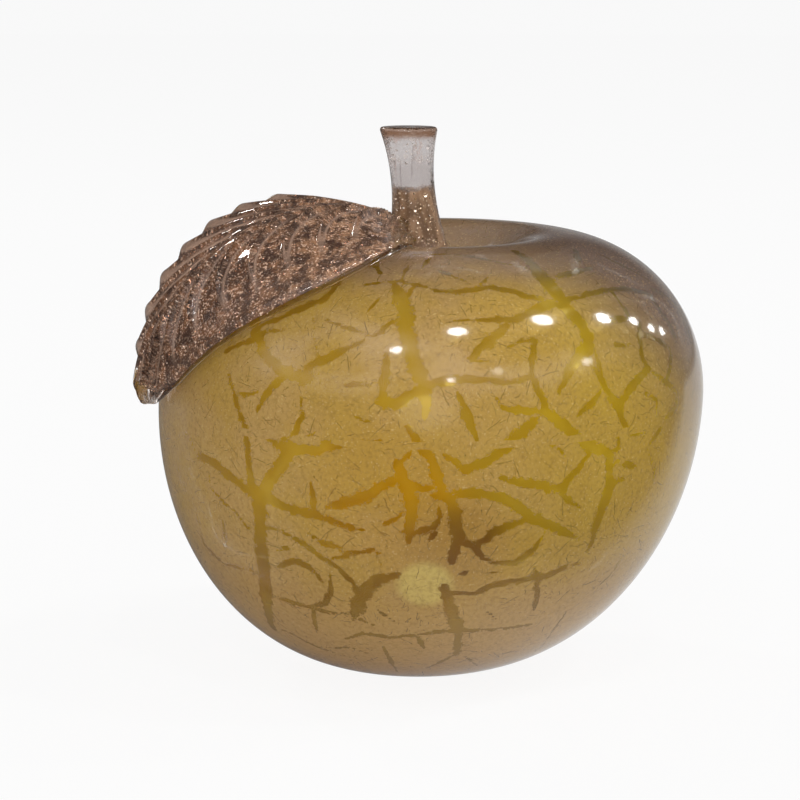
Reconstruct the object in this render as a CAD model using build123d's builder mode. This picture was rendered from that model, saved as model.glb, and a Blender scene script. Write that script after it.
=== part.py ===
from build123d import *
import os
from math import atan, cos, degrees, hypot, pi, radians, sin, sqrt, tan

# Blown glass apple with a fused stem and leaf. Sizes are in millimetres, angles in degrees.
# Z is up, the apple stands on the XY plane, the front faces -Y and the leaf lies towards -X.

# Apple body, outside
BODY_DIAMETER = 129.4
BELLY_HEIGHT = 64.8
CREST_HEIGHT = 103.6
CREST_DIAMETER = 52.8
BASE_ROUND_START = 23.0
BASE_GRIND_DEPTH = 0.05
DIMPLE_DEPTH = 9.5
DIMPLE_FLOOR_DIAMETER = 8.0
BODY_LEAN = 2.7

# Layers of the body, from the outside in
CASING_WALL = 2.5
FILM_WALL = 0.2
BUBBLE_WALL = 3.5
BUBBLE_FLOOR_EXTRA = 4.0
BLOW_HOLE_DIAMETER = 6.0

# Stem, heights measured up from the dimple floor
STEM_LENGTH = 34.6
STEM_TOP_WIDTH = 14.0
STEM_TOP_DEPTH = 9.0
STEM_TOP_ROUND = 1.0
STEM_WAIST_HEIGHT = 22.4
STEM_WAIST_WIDTH = 10.2
STEM_WAIST_DEPTH = 9.4
STEM_NECK_HEIGHT = 10.0
STEM_NECK_WIDTH = 12.6
STEM_NECK_DEPTH = 11.8
STEM_FOOT_WIDTH = 20.0
STEM_FOOT_SINK = 2.0
STEM_OFFSET = -4.0
STEM_LEAN = 4.5
STEM_SKIN = 1.7
STEM_CORE_START = 4.5
STEM_CORE_END_GAP = 5.0
PLUG_LENGTH = 5.0
PLUG_CLEARANCE = 0.1

# Leaf, where it lies: bearings are turned from +X towards +Y
LEAF_ROOT_BEARING = 206.0
LEAF_TIP_BEARING = 193.0
LEAF_TIP_ANGLE = 0.5
LEAF_LIP_RADIUS = 30.0
LEAF_LIP_TURN = 36.0

# Leaf, outline and thickness
LEAF_ROOT_WIDTH = 16.0
LEAF_TIP_WIDTH = 7.2
LEAF_BULGE = 24.0
LEAF_RISE = 8.0
LEAF_TIP_RISE = 5.5
LEAF_NEAR_EDGE = 2.0
LEAF_FAR_LIFT = 2.6
LEAF_FAR_DROP = 3.5
LEAF_FAR_EDGE = 3.6
LEAF_SEAT = 1.5
LEAF_TIP_GAP = 1.5
LEAF_SKIN = 1.8

# Leaf, ribs on each side of the midrib
LEAF_RIBS = 10
LEAF_RIB_RELIEF = 0.8
LEAF_RIB_SWEEP = 0.26
LEAF_STATIONS = 51
LEAF_SECTION_POINTS = 41
LEAF_CORE_STATIONS = 13
LEAF_CORE_POINTS = 13

body_radius = BODY_DIAMETER / 2
base_radius = BASE_ROUND_START / 2
crest_radius = CREST_DIAMETER / 2
floor_radius = DIMPLE_FLOOR_DIAMETER / 2
floor_height = CREST_HEIGHT - DIMPLE_DEPTH
shoulder_width = body_radius - crest_radius
shoulder_height = CREST_HEIGHT - BELLY_HEIGHT
lean_slope = tan(radians(BODY_LEAN))
dimple_x = lean_slope * floor_height

film_inset = CASING_WALL
bubble_inset = film_inset + FILM_WALL
cavity_inset = bubble_inset + BUBBLE_WALL


def apple_solid(inset, floor_extra=0.0):
    """Solid apple whose skin lies the given depth under the outside of the glass.

    Args:
        inset: depth under the outside; a negative depth gives a larger apple.
        floor_extra: more glass left above the base than elsewhere.

    Returns:
        The solid, leaning the same way as the whole body.
    """
    bottom = inset + floor_extra - BASE_GRIND_DEPTH
    dimple_floor = floor_height - inset
    turn = 2 * atan(DIMPLE_DEPTH / (crest_radius - floor_radius))
    lip_radius = (crest_radius - floor_radius) / (2 * sin(turn))
    with BuildPart() as solid:
        with BuildSketch(Plane.XZ):
            with BuildLine():
                Line((0, dimple_floor), (0, bottom))
                Line((0, bottom), (base_radius, bottom))
                EllipticalCenterArc(
                    (base_radius, BELLY_HEIGHT),
                    body_radius - base_radius - inset,
                    BELLY_HEIGHT - bottom,
                    start_angle=-90,
                    arc_size=90,
                )
                EllipticalCenterArc(
                    (crest_radius, BELLY_HEIGHT),
                    shoulder_width - inset,
                    shoulder_height - inset,
                    start_angle=0,
                    arc_size=90,
                )
                CenterArc(
                    (crest_radius, CREST_HEIGHT - lip_radius),
                    lip_radius - inset,
                    start_angle=90,
                    arc_size=degrees(turn),
                )
                CenterArc(
                    (floor_radius, floor_height + lip_radius),
                    lip_radius + inset,
                    start_angle=degrees(turn) - 90,
                    arc_size=-degrees(turn),
                )
                Line((floor_radius, dimple_floor), (0, dimple_floor))
            make_face()
        revolve(axis=Axis.Z)
    shear = Matrix([[1, 0, lean_slope, 0], [0, 1, 0, 0], [0, 0, 1, 0]])
    return solid.part.transform_geometry(shear)


def stem_solid(skin, start, end):
    """Solid of the stem between two heights above the dimple floor.

    Args:
        skin: depth under the outside of the stem.
        start: height of the lower end above the dimple floor.
        end: height of the upper end above the dimple floor.

    Returns:
        The lofted solid with a rounded upper rim.
    """
    heights = [-STEM_FOOT_SINK, STEM_NECK_HEIGHT, STEM_WAIST_HEIGHT, STEM_LENGTH]
    widths = [STEM_FOOT_WIDTH, STEM_NECK_WIDTH, STEM_WAIST_WIDTH, STEM_TOP_WIDTH]
    depths = [STEM_FOOT_WIDTH, STEM_NECK_DEPTH, STEM_WAIST_DEPTH, STEM_TOP_DEPTH]
    inner = [at for at in heights if start < at < end]
    with BuildPart() as solid:
        for height in [start, *inner, end]:
            centre = dimple_x + STEM_OFFSET - height * tan(radians(STEM_LEAN))
            half_width = along(height, heights, widths) / 2 - skin
            half_depth = along(height, heights, depths) / 2 - skin
            with BuildSketch(Plane.XY.offset(floor_height + height)):
                with Locations((centre, 0)):
                    Ellipse(half_width, half_depth)
        loft()
        fillet(solid.faces().sort_by(Axis.Z)[-1].edges(), STEM_TOP_ROUND)
    return solid.part


def along(value, places, sizes):
    """Size at a place between the places where it is given."""
    for low, high, first, second in zip(places, places[1:], sizes, sizes[1:]):
        if value <= high:
            return first + (second - first) * (value - low) / (high - low)
    return sizes[-1]


def ease(value):
    """Smooth step from 0 at 0 to 1 at 1."""
    held = min(max(value, 0.0), 1.0)
    return held * held * (3 - 2 * held)


lip_length = radians(LEAF_LIP_TURN) * LEAF_LIP_RADIUS
shoulder_length = radians(90 - LEAF_TIP_ANGLE) * (shoulder_width + shoulder_height + 2 * LEAF_RISE) / 2
lip_share = lip_length / (lip_length + shoulder_length)


def leaf_rise(u):
    """Height of the midrib over the apple at a fraction of the leaf's length from its root."""
    return LEAF_RISE + (LEAF_TIP_RISE - LEAF_RISE) * ease((u - 0.45) / 0.55)


def leaf_half_width(u):
    """Half of the leaf's width at a fraction of its length from the root."""
    taper = LEAF_ROOT_WIDTH + (LEAF_TIP_WIDTH - LEAF_ROOT_WIDTH) * u
    return taper / 2 + LEAF_BULGE * sin(pi * u**0.8) ** 0.75


def leaf_station(u):
    """Place on the midrib at a fraction of the leaf's length from the root.

    Args:
        u: fraction of the length, 0 at the root and 1 at the tip.

    Returns:
        The section plane there (X towards the front margin, Y out of the apple) and how fast the
        apple falls away sideways under it.
    """
    rise = leaf_rise(u)
    if u < lip_share:
        angle = radians(90 + LEAF_LIP_TURN * (1 - u / lip_share))
        radius = crest_radius + LEAF_LIP_RADIUS * cos(angle)
        height = CREST_HEIGHT + rise + LEAF_LIP_RADIUS * (sin(angle) - 1)
        forward, downward = sin(angle), cos(angle)
    else:
        angle = radians(90 - (90 - LEAF_TIP_ANGLE) * (u - lip_share) / (1 - lip_share))
        radius = crest_radius + (shoulder_width + rise) * cos(angle)
        height = BELLY_HEIGHT + (shoulder_height + rise) * sin(angle)
        forward, downward = (shoulder_width + rise) * sin(angle), (shoulder_height + rise) * cos(angle)
    length = hypot(forward, downward)
    bearing = radians(LEAF_ROOT_BEARING + (LEAF_TIP_BEARING - LEAF_ROOT_BEARING) * u)
    out_x, out_y = cos(bearing), sin(bearing)
    plane = Plane(
        origin=(radius * out_x + lean_slope * height, radius * out_y, height),
        x_dir=(-out_y, out_x, 0),
        z_dir=(out_x * forward / length, out_y * forward / length, -downward / length),
    )
    fall = max(downward / length, 0.0) / (2 * radius)
    return plane, fall


def leaf_solid(stations, points, skin, relief, start, end):
    """Solid of the leaf lofted through flat sections along its midrib.

    Args:
        stations: number of sections.
        points: number of points across each section.
        skin: depth under the outside of the leaf.
        relief: half of the height between a rib and the valley beside it.
        start: fraction of the length where the solid begins.
        end: fraction of the length where the solid ends.

    Returns:
        The lofted solid, which still reaches into the apple.
    """
    with BuildPart() as solid:
        for station in range(stations):
            u = start + (end - start) * station / (stations - 1)
            plane, fall = leaf_station(u)
            cap = sqrt(1 - 0.85 * max((u - 0.94 * end) / (0.06 * end), 0.0) ** 2)
            half_width = (leaf_half_width(u) - skin) * cap
            rise = leaf_rise(u)
            lift = LEAF_FAR_LIFT * sin(pi * u) - LEAF_FAR_DROP * (1 - ease(u / 0.45))
            seat = LEAF_SEAT - (LEAF_SEAT + LEAF_TIP_GAP) * ease((u - 0.8) / 0.2)
            upper = []
            lower = []
            for step in range(points):
                v = 1 - 2 * step / (points - 1)
                across = abs(v)
                ground = -rise - fall * (v * leaf_half_width(u)) ** 2
                if v > 0:
                    top = ground + rise - (rise - LEAF_NEAR_EDGE) * across**2
                    free = 0.0
                else:
                    top = ground + rise + lift * across
                    free = ease((across - 0.3) / 0.7)
                under = (ground - seat) * (1 - free) + (top - LEAF_FAR_EDGE) * free
                swept = u - LEAF_RIB_SWEEP * (1 - (1 - across) ** 2.2)
                wave = cos(2 * pi * LEAF_RIBS * swept)
                top = top - skin + relief * wave * ease(across / 0.2)
                under = under + skin
                middle = (top + under) / 2
                half_thick = max((top - under) / 2, 0.2) * cap
                upper.append((v * half_width, middle + half_thick))
                lower.append((v * half_width, middle - half_thick))
            with BuildSketch(plane):
                with BuildLine():
                    Spline(upper)
                    Line(upper[-1], lower[-1])
                    Spline(lower[::-1])
                    Line(lower[0], upper[0])
                make_face()
        loft(ruled=True)
    return solid.part


os.makedirs("parts", exist_ok=True)

# Outside of the apple, ground flat underneath
with BuildPart() as ground_apple:
    add(apple_solid(0))
    with BuildSketch(Plane.XY):
        Circle(body_radius)
    extrude(amount=-2 * BASE_GRIND_DEPTH, mode=Mode.SUBTRACT)

apple = ground_apple.part
apple_under_casing = apple_solid(film_inset)
apple_under_film = apple_solid(bubble_inset)
apple_cavity = apple_solid(cavity_inset, BUBBLE_FLOOR_EXTRA)

# Body, three shells that share their faces, each with the blow hole in the dimple
with BuildPart() as clear_casing:
    add(apple)
    add(apple_under_casing, mode=Mode.SUBTRACT)
    with Locations((dimple_x, 0, floor_height)):
        Cylinder(BLOW_HOLE_DIAMETER / 2, 4 * cavity_inset, mode=Mode.SUBTRACT)
clear_casing.part.label = "clear_casing"
export_step(clear_casing.part, "parts/clear_casing.step")

with BuildPart() as gilt_film:
    add(apple_under_casing)
    add(apple_under_film, mode=Mode.SUBTRACT)
    with Locations((dimple_x, 0, floor_height)):
        Cylinder(BLOW_HOLE_DIAMETER / 2, 4 * cavity_inset, mode=Mode.SUBTRACT)
gilt_film.part.label = "gilt_film"
export_step(gilt_film.part, "parts/gilt_film.step")

with BuildPart() as amber_bubble:
    add(apple_under_film)
    add(apple_cavity, mode=Mode.SUBTRACT)
    with Locations((dimple_x, 0, floor_height)):
        Cylinder(BLOW_HOLE_DIAMETER / 2, 4 * cavity_inset, mode=Mode.SUBTRACT)
amber_bubble.part.label = "amber_bubble"
export_step(amber_bubble.part, "parts/amber_bubble.step")

# Stem, seated on the dimple with a plug that closes the blow hole
stem = stem_solid(0, -STEM_FOOT_SINK, STEM_LENGTH)

with BuildPart() as stem_core:
    add(stem_solid(STEM_SKIN, STEM_CORE_START, STEM_LENGTH - STEM_CORE_END_GAP))
stem_core.part.label = "stem_core"
export_step(stem_core.part, "parts/stem_core.step")

with BuildPart() as stem_jacket:
    add(stem)
    add(apple, mode=Mode.SUBTRACT)
    with Locations((dimple_x, 0, floor_height)):
        Cylinder(
            BLOW_HOLE_DIAMETER / 2 - PLUG_CLEARANCE,
            PLUG_LENGTH,
            align=(Align.CENTER, Align.CENTER, Align.MAX),
        )
    add(stem_core.part, mode=Mode.SUBTRACT)
stem_jacket.part.label = "stem_jacket"
export_step(stem_jacket.part, "parts/stem_jacket.step")

# Leaf, laid on the shoulder and against the stem foot
with BuildPart() as leaf_core:
    add(leaf_solid(LEAF_CORE_STATIONS, LEAF_CORE_POINTS, LEAF_SKIN, 0.0, 0.1, 0.95))
    add(apple_solid(-LEAF_SKIN), mode=Mode.SUBTRACT)
leaf_core.part.label = "leaf_core"
export_step(leaf_core.part, "parts/leaf_core.step")

with BuildPart() as leaf_jacket:
    add(leaf_solid(LEAF_STATIONS, LEAF_SECTION_POINTS, 0.0, LEAF_RIB_RELIEF, 0.0, 1.0))
    add(apple, mode=Mode.SUBTRACT)
    add(stem, mode=Mode.SUBTRACT)
    add(leaf_core.part, mode=Mode.SUBTRACT)
leaf_jacket.part.label = "leaf_jacket"
export_step(leaf_jacket.part, "parts/leaf_jacket.step")

for piece in (clear_casing, gilt_film, amber_bubble, stem_jacket, stem_core, leaf_jacket, leaf_core):
    size = round(piece.part.volume / 1000, 2)
    print(piece.part.label, len(piece.part.solids()), size, "cm3", piece.part.is_valid)
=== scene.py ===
import logging
import math
from collections.abc import Callable
from dataclasses import dataclass
from enum import Enum

import bpy
import numpy as np
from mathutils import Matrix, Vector


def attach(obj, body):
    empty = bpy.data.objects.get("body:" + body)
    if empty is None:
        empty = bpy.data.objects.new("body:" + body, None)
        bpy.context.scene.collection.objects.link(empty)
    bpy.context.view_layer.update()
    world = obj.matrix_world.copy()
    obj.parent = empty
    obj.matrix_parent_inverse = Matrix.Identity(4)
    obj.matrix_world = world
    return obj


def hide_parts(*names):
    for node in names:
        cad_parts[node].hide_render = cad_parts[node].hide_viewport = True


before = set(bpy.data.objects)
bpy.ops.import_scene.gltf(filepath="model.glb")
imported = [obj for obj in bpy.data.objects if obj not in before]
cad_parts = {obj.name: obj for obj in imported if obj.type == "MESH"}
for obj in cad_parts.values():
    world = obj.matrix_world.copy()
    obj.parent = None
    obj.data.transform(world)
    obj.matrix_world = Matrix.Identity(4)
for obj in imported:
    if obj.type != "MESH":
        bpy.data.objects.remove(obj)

# A blown glass apple: clear casing, torn gilt film and amber bubble, with a fused stem and leaf.
# Sizes are in millimetres and angles in degrees until a mesh is made, which is in metres.

LOG = logging.getLogger("glass_apple")
Array = np.ndarray
Socket = bpy.types.NodeSocket
MM = 0.001
PIECE_BODY = "root"
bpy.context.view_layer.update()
GLASS_IOR = 1.5
WHITE = (1.0, 1.0, 1.0, 1.0)
SQUARE = np.array([[-1.0, -1.0, 0.0], [1.0, -1.0, 0.0], [1.0, 1.0, 0.0], [-1.0, 1.0, 0.0]])


class Slot(Enum):
    """Finish slots that the part's record names."""

    CLEAR = "clear_glass"
    GILT = "gilt_leaf"
    AMBER = "amber_glass"
    GOLD_FLECK = "gold_fleck_glass"
    COPPER_FLECK = "copper_fleck_glass"


def ease(value: Array | float) -> Array:
    """Smooth step from 0 at 0 to 1 at 1."""
    held = np.clip(value, 0.0, 1.0)
    return held * held * (3 - 2 * held)


def narrowed(past: Callable, low: Array, high: Array, rounds: int) -> Array:
    """Halves ranges down to where a test turns true.

    Args:
        past: tells for each number whether it lies past the turn.
        low: numbers before the turn.
        high: numbers past the turn.
        rounds: how often the ranges are halved.

    Returns:
        The numbers just past the turn.
    """
    for _ in range(rounds):
        middle = (low + high) / 2
        true = past(middle)
        high = np.where(true, middle, high)
        low = np.where(true, low, middle)
    return high


def ring_faces(turns: int, rings: int, start: int = 0) -> Array:
    """Faces between rings of corner points that follow each other.

    Args:
        turns: corner points in each ring.
        rings: number of rings.
        start: number of the first corner point.

    Returns:
        Four corner numbers for each face.
    """
    low = start + np.arange(turns * (rings - 1)).reshape(-1, turns)
    after = np.roll(low, -1, axis=1)
    return np.stack([low, after, after + turns, low + turns], -1).reshape(-1, 4)


def fan_faces(turns: int, start: int, centre: int) -> Array:
    """Faces between a ring of corner points and one corner point at its centre.

    Args:
        turns: corner points in the ring.
        start: number of the ring's first corner point.
        centre: number of the corner point at the centre.

    Returns:
        Three corner numbers for each face.
    """
    around = start + np.arange(turns)
    return np.stack([np.full(turns, centre), np.roll(around, -1), around], 1)


def linked(name: str, data: bpy.types.ID) -> bpy.types.Object:
    """Makes an object of the given data and links it to the scene."""
    made = bpy.data.objects.new(name, data)
    bpy.context.collection.objects.link(made)
    return made


def make_object(
    name: str, points: Array, faces: list, finishes: list, picks: Array | int = 0
) -> bpy.types.Object:
    """Makes a smooth mesh object from points in millimetres.

    Args:
        name: name of the object and its mesh.
        points: corner places in millimetres, one row each.
        faces: corner numbers of each face.
        finishes: materials of the object, in slot order.
        picks: slot number of each face, or of all faces.

    Returns:
        The new object, linked to the scene.
    """
    mesh = bpy.data.meshes.new(name)
    mesh.from_pydata((points * MM).tolist(), [], faces)
    for finish in finishes:
        mesh.materials.append(finish)
    mesh.polygons.foreach_set("material_index", np.broadcast_to(picks, len(faces)).astype(np.int32))
    mesh.polygons.foreach_set("use_smooth", np.ones(len(faces), dtype=bool))
    mesh.update()
    return linked(name, mesh)


def store_numbers(made: bpy.types.Object, name: str, numbers: Array) -> None:
    """Keeps one number for each corner point of an object as a named attribute."""
    kept = made.data.attributes.new(name, "FLOAT", "POINT")
    kept.data.foreach_set("value", numbers.astype(np.float32))


def hand_over(made: bpy.types.Object, slot: Slot, *nodes: str) -> None:
    """Hangs a piece on the body that it rides on, hides the nodes that it stands for and logs its finish
    slot.
    """
    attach(made, PIECE_BODY)
    if nodes:
        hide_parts(*nodes)
    LOG.info("%s: %d faces, %s", made.name, len(made.data.polygons), slot.value)


@dataclass(frozen=True)
class AppleShape:
    """Outside form of the apple and where its layers lie under it."""

    body_diameter: float = 129.4
    belly_height: float = 64.8
    crest_height: float = 103.6
    crest_diameter: float = 52.8
    base_round_start: float = 23.0
    grind_depth: float = 0.05
    dimple_depth: float = 9.5
    dimple_floor_diameter: float = 8.0
    lean_degrees: float = 2.7
    blow_hole_diameter: float = 6.0
    casing_wall: float = 2.5
    film_wall: float = 0.2
    bubble_wall: float = 3.5
    bubble_floor_extra: float = 4.0
    flat_points: int = 9
    low_run: float = 92.0
    high_run: float = 62.0
    lip_run: float = 14.0
    slope_step: float = 0.02
    march_steps: int = 1200
    march_rounds: int = 14

    @property
    def slope(self) -> float:
        """Sideways step of the body for each millimetre of height."""
        return math.tan(math.radians(self.lean_degrees))

    @property
    def crest_radius(self) -> float:
        """Radius of the highest ring of the shoulder."""
        return self.crest_diameter / 2

    @property
    def floor_height(self) -> float:
        """Height of the dimple's floor."""
        return self.crest_height - self.dimple_depth

    @property
    def lip(self) -> tuple[float, float]:
        """Turn in radians and radius of the two equal arcs of the dimple's wall."""
        run = self.crest_radius - self.dimple_floor_diameter / 2
        turn = 2 * math.atan(self.dimple_depth / run)
        return turn, run / (2 * math.sin(turn))

    def profile(self, inset: float, floor_extra: float, spacing: float) -> Array:
        """Half outline of the apple at a depth under its outside.

        Args:
            inset: depth under the outside.
            floor_extra: more glass left above the base than elsewhere.
            spacing: distance between neighbouring points.

        Returns:
            Rows of radius and height from the middle of the base to the blow hole.
        """
        bottom = inset + floor_extra - self.grind_depth
        turn, lip = self.lip
        start = self.base_round_start / 2
        floor = self.dimple_floor_diameter / 2
        wide = self.body_diameter / 2 - inset
        belly, crest = self.belly_height, self.crest_radius
        flat = np.linspace(0, start, self.flat_points)[:-1]
        low = np.radians(np.linspace(-90, 0, int(self.low_run / spacing)))[:-1]
        high = np.radians(np.linspace(0, 90, int(self.high_run / spacing)))[:-1]
        outer = np.linspace(0, turn, int(self.lip_run / spacing))[:-1]
        inner = turn - outer
        radii = np.concatenate([
            flat,
            start + (wide - start) * np.cos(low),
            crest + (wide - crest) * np.cos(high),
            crest - (lip - inset) * np.sin(outer),
            floor + (lip + inset) * np.sin(inner),
            [floor, self.blow_hole_diameter / 2],
        ])
        heights = np.concatenate([
            np.full(len(flat), bottom),
            belly + (belly - bottom) * np.sin(low),
            belly + (self.crest_height - belly - inset) * np.sin(high),
            self.crest_height - lip + (lip - inset) * np.cos(outer),
            self.floor_height + lip - (lip + inset) * np.cos(inner),
            [self.floor_height - inset, self.floor_height - inset],
        ])
        return np.stack([radii, np.maximum(heights, 0.0)], 1)

    def top_height(self, radius: Array) -> Array:
        """Height of the glass at radii inside the crest, over the dimple."""
        turn, lip = self.lip
        floor = self.dimple_floor_diameter / 2
        out = np.clip((self.crest_radius - radius) / lip, 0, math.sin(turn))
        upper = self.crest_height - lip + lip * np.sqrt(1 - out**2)
        back = np.clip((radius - floor) / lip, 0, math.sin(turn))
        lower = self.floor_height + lip - lip * np.sqrt(1 - back**2)
        return np.where(radius > (self.crest_radius + floor) / 2, upper, lower)

    def level(self, points: Array, grow: float = 0.0) -> Array:
        """How far points lie outside the body: under 1 inside it, over 1 outside it.

        Args:
            points: places in millimetres, one row each.
            grow: height added to the body all round.

        Returns:
            One number for each point.
        """
        height = points[..., 2]
        radius = np.hypot(points[..., 0] - self.slope * height, points[..., 1])
        wide = self.body_diameter / 2
        start = self.base_round_start / 2
        low = (np.maximum(radius - start, 0) / (wide - start + grow)) ** 2
        low = low + ((height - self.belly_height) / (self.belly_height + grow)) ** 2
        high = (np.maximum(radius - self.crest_radius, 0) / (wide - self.crest_radius + grow)) ** 2
        high = high + ((height - self.belly_height) / (self.crest_height - self.belly_height + grow)) ** 2
        dimple = height / (self.top_height(radius) + grow)
        high = np.where(radius < self.crest_radius, np.maximum(high, dimple), high)
        return np.where(height < self.belly_height, low, high)

    def normal(self, points: Array) -> Array:
        """Outward directions of the body's surface at the given points."""
        steps = self.slope_step * np.eye(3)
        made = np.stack([self.level(points + step) - self.level(points - step) for step in steps], -1)
        return made / np.linalg.norm(made, axis=-1, keepdims=True)

    def march(self, origins: Array, ways: Array, grow: float, reach: tuple[float, float]) -> Array:
        """First places where rays meet the body.

        Args:
            origins: start of each ray.
            ways: unit direction of each ray.
            grow: height added to the body all round.
            reach: nearest and farthest distance to look at.

        Returns:
            The places, with not-a-number rows where a ray misses.
        """
        steps = np.linspace(*reach, self.march_steps)
        places = origins[:, None, :] + steps[None, :, None] * ways[:, None, :]
        within = self.level(places, grow) < 1
        first = steps[np.argmax(within, axis=1)]

        def sunk(run: Array) -> Array:
            """Tells whether rays are in the body after the given distances."""
            return self.level(origins + run[:, None] * ways, grow) < 1

        run = narrowed(sunk, first - (steps[1] - steps[0]), first, self.march_rounds)
        places = origins + run[:, None] * ways
        places[~within.any(axis=1)] = np.nan
        return places


@dataclass(frozen=True)
class PhotoCamera:
    """Camera that stands where the photograph was taken from."""

    place: tuple[float, float, float] = (2.44, -735.6, 198.3)
    target: tuple[float, float, float] = (-4.28, 2.19, 63.0)
    focal_pixels: float = 3132.8
    frame_pixels: float = 800.0
    sensor: float = 36.0
    nearest: float = 50.0

    def axes(self) -> tuple[Array, Array, Array]:
        """Directions to the right, up and forward of the camera."""
        forward = np.array(self.target) - np.array(self.place)
        forward = forward / np.linalg.norm(forward)
        right = np.cross(forward, (0.0, 0.0, 1.0))
        right = right / np.linalg.norm(right)
        return right, np.cross(right, forward), forward

    def rays(self, pixels: Array) -> tuple[Array, Array]:
        """Rays through pixels of the picture.

        Args:
            pixels: rows of column and row in the picture.

        Returns:
            The start and the unit direction of each ray.
        """
        right, up, forward = self.axes()
        middle = self.frame_pixels / 2
        aside = np.outer((pixels[:, 0] - middle) / self.focal_pixels, right)
        above = np.outer((middle - pixels[:, 1]) / self.focal_pixels, up)
        ways = forward + aside + above
        ways = ways / np.linalg.norm(ways, axis=1, keepdims=True)
        return np.tile(np.array(self.place), (len(pixels), 1)), ways

    def build(self) -> None:
        """Makes the camera and sets it as the scene's own."""
        data = bpy.data.cameras.new("photo_camera")
        data.sensor_width = self.sensor
        data.lens = self.focal_pixels / self.frame_pixels * self.sensor
        data.clip_start = self.nearest * MM
        made = linked("photo_camera", data)
        made.location = Vector(self.place) * MM
        way = Vector(self.target) - Vector(self.place)
        made.rotation_euler = way.to_track_quat("-Z", "Y").to_euler()
        bpy.context.scene.camera = made


class NodeGraph:
    """Adds and joins the nodes of one node tree."""

    def __init__(self, tree: bpy.types.NodeTree) -> None:
        """Starts with the given tree, emptied."""
        self.tree = tree
        tree.nodes.clear()

    def node(self, kind: str, sources: dict | None = None, **settings: object) -> bpy.types.Node:
        """Adds a node.

        Args:
            kind: Blender's name for the kind of node.
            sources: what feeds its sockets, by their numbers or names.
            settings: the node's own properties.

        Returns:
            The new node.
        """
        made = self.tree.nodes.new(kind)
        for name, value in settings.items():
            setattr(made, name, value)
        for socket, source in (sources or {}).items():
            self.feed(made.inputs[socket], source)
        return made

    def feed(self, socket: Socket, source: object) -> None:
        """Joins a socket to another socket, or sets its value."""
        if isinstance(source, Socket):
            self.tree.links.new(source, socket)
        else:
            socket.default_value = source

    def feed_kind(self, node: bpy.types.Node, kind: str, *sources: object) -> Socket:
        """Feeds a node's sockets of one kind, in their order, and returns its first result of that kind."""
        for socket, source in zip([found for found in node.inputs if found.type == kind], sources):
            self.feed(socket, source)
        return next(found for found in node.outputs if found.type == kind)

    def math(self, kind: str, *terms: object) -> Socket:
        """Adds a sum of the given kind and returns its result."""
        return self.node("ShaderNodeMath", dict(enumerate(terms)), operation=kind).outputs[0]

    def product(self, first: object, *others: object) -> Socket:
        """Adds the product of all the terms and returns it."""
        made = first
        for term in others:
            made = self.math("MULTIPLY", made, term)
        return made

    def vector(self, kind: str, *terms: object) -> Socket:
        """Adds a vector sum of the given kind and returns its result, a vector or a number."""
        made = self.node("ShaderNodeVectorMath", dict(enumerate(terms)), operation=kind)
        return made.outputs["Value" if kind in ("DOT_PRODUCT", "LENGTH", "DISTANCE") else "Vector"]

    def axes(self, place: Socket) -> bpy.types.bpy_prop_collection:
        """Splits a place into its numbers X, Y and Z."""
        return self.node("ShaderNodeSeparateXYZ", {0: place}).outputs

    def background_ray(self) -> Socket:
        """Number that is 1 on rays that show the background: to the camera, in mirrors and through glass."""
        rays = self.node("ShaderNodeLightPath").outputs
        seen = self.math("MAXIMUM", rays["Is Camera Ray"], rays["Is Glossy Ray"])
        return self.math("MAXIMUM", seen, rays["Is Transmission Ray"])


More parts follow.
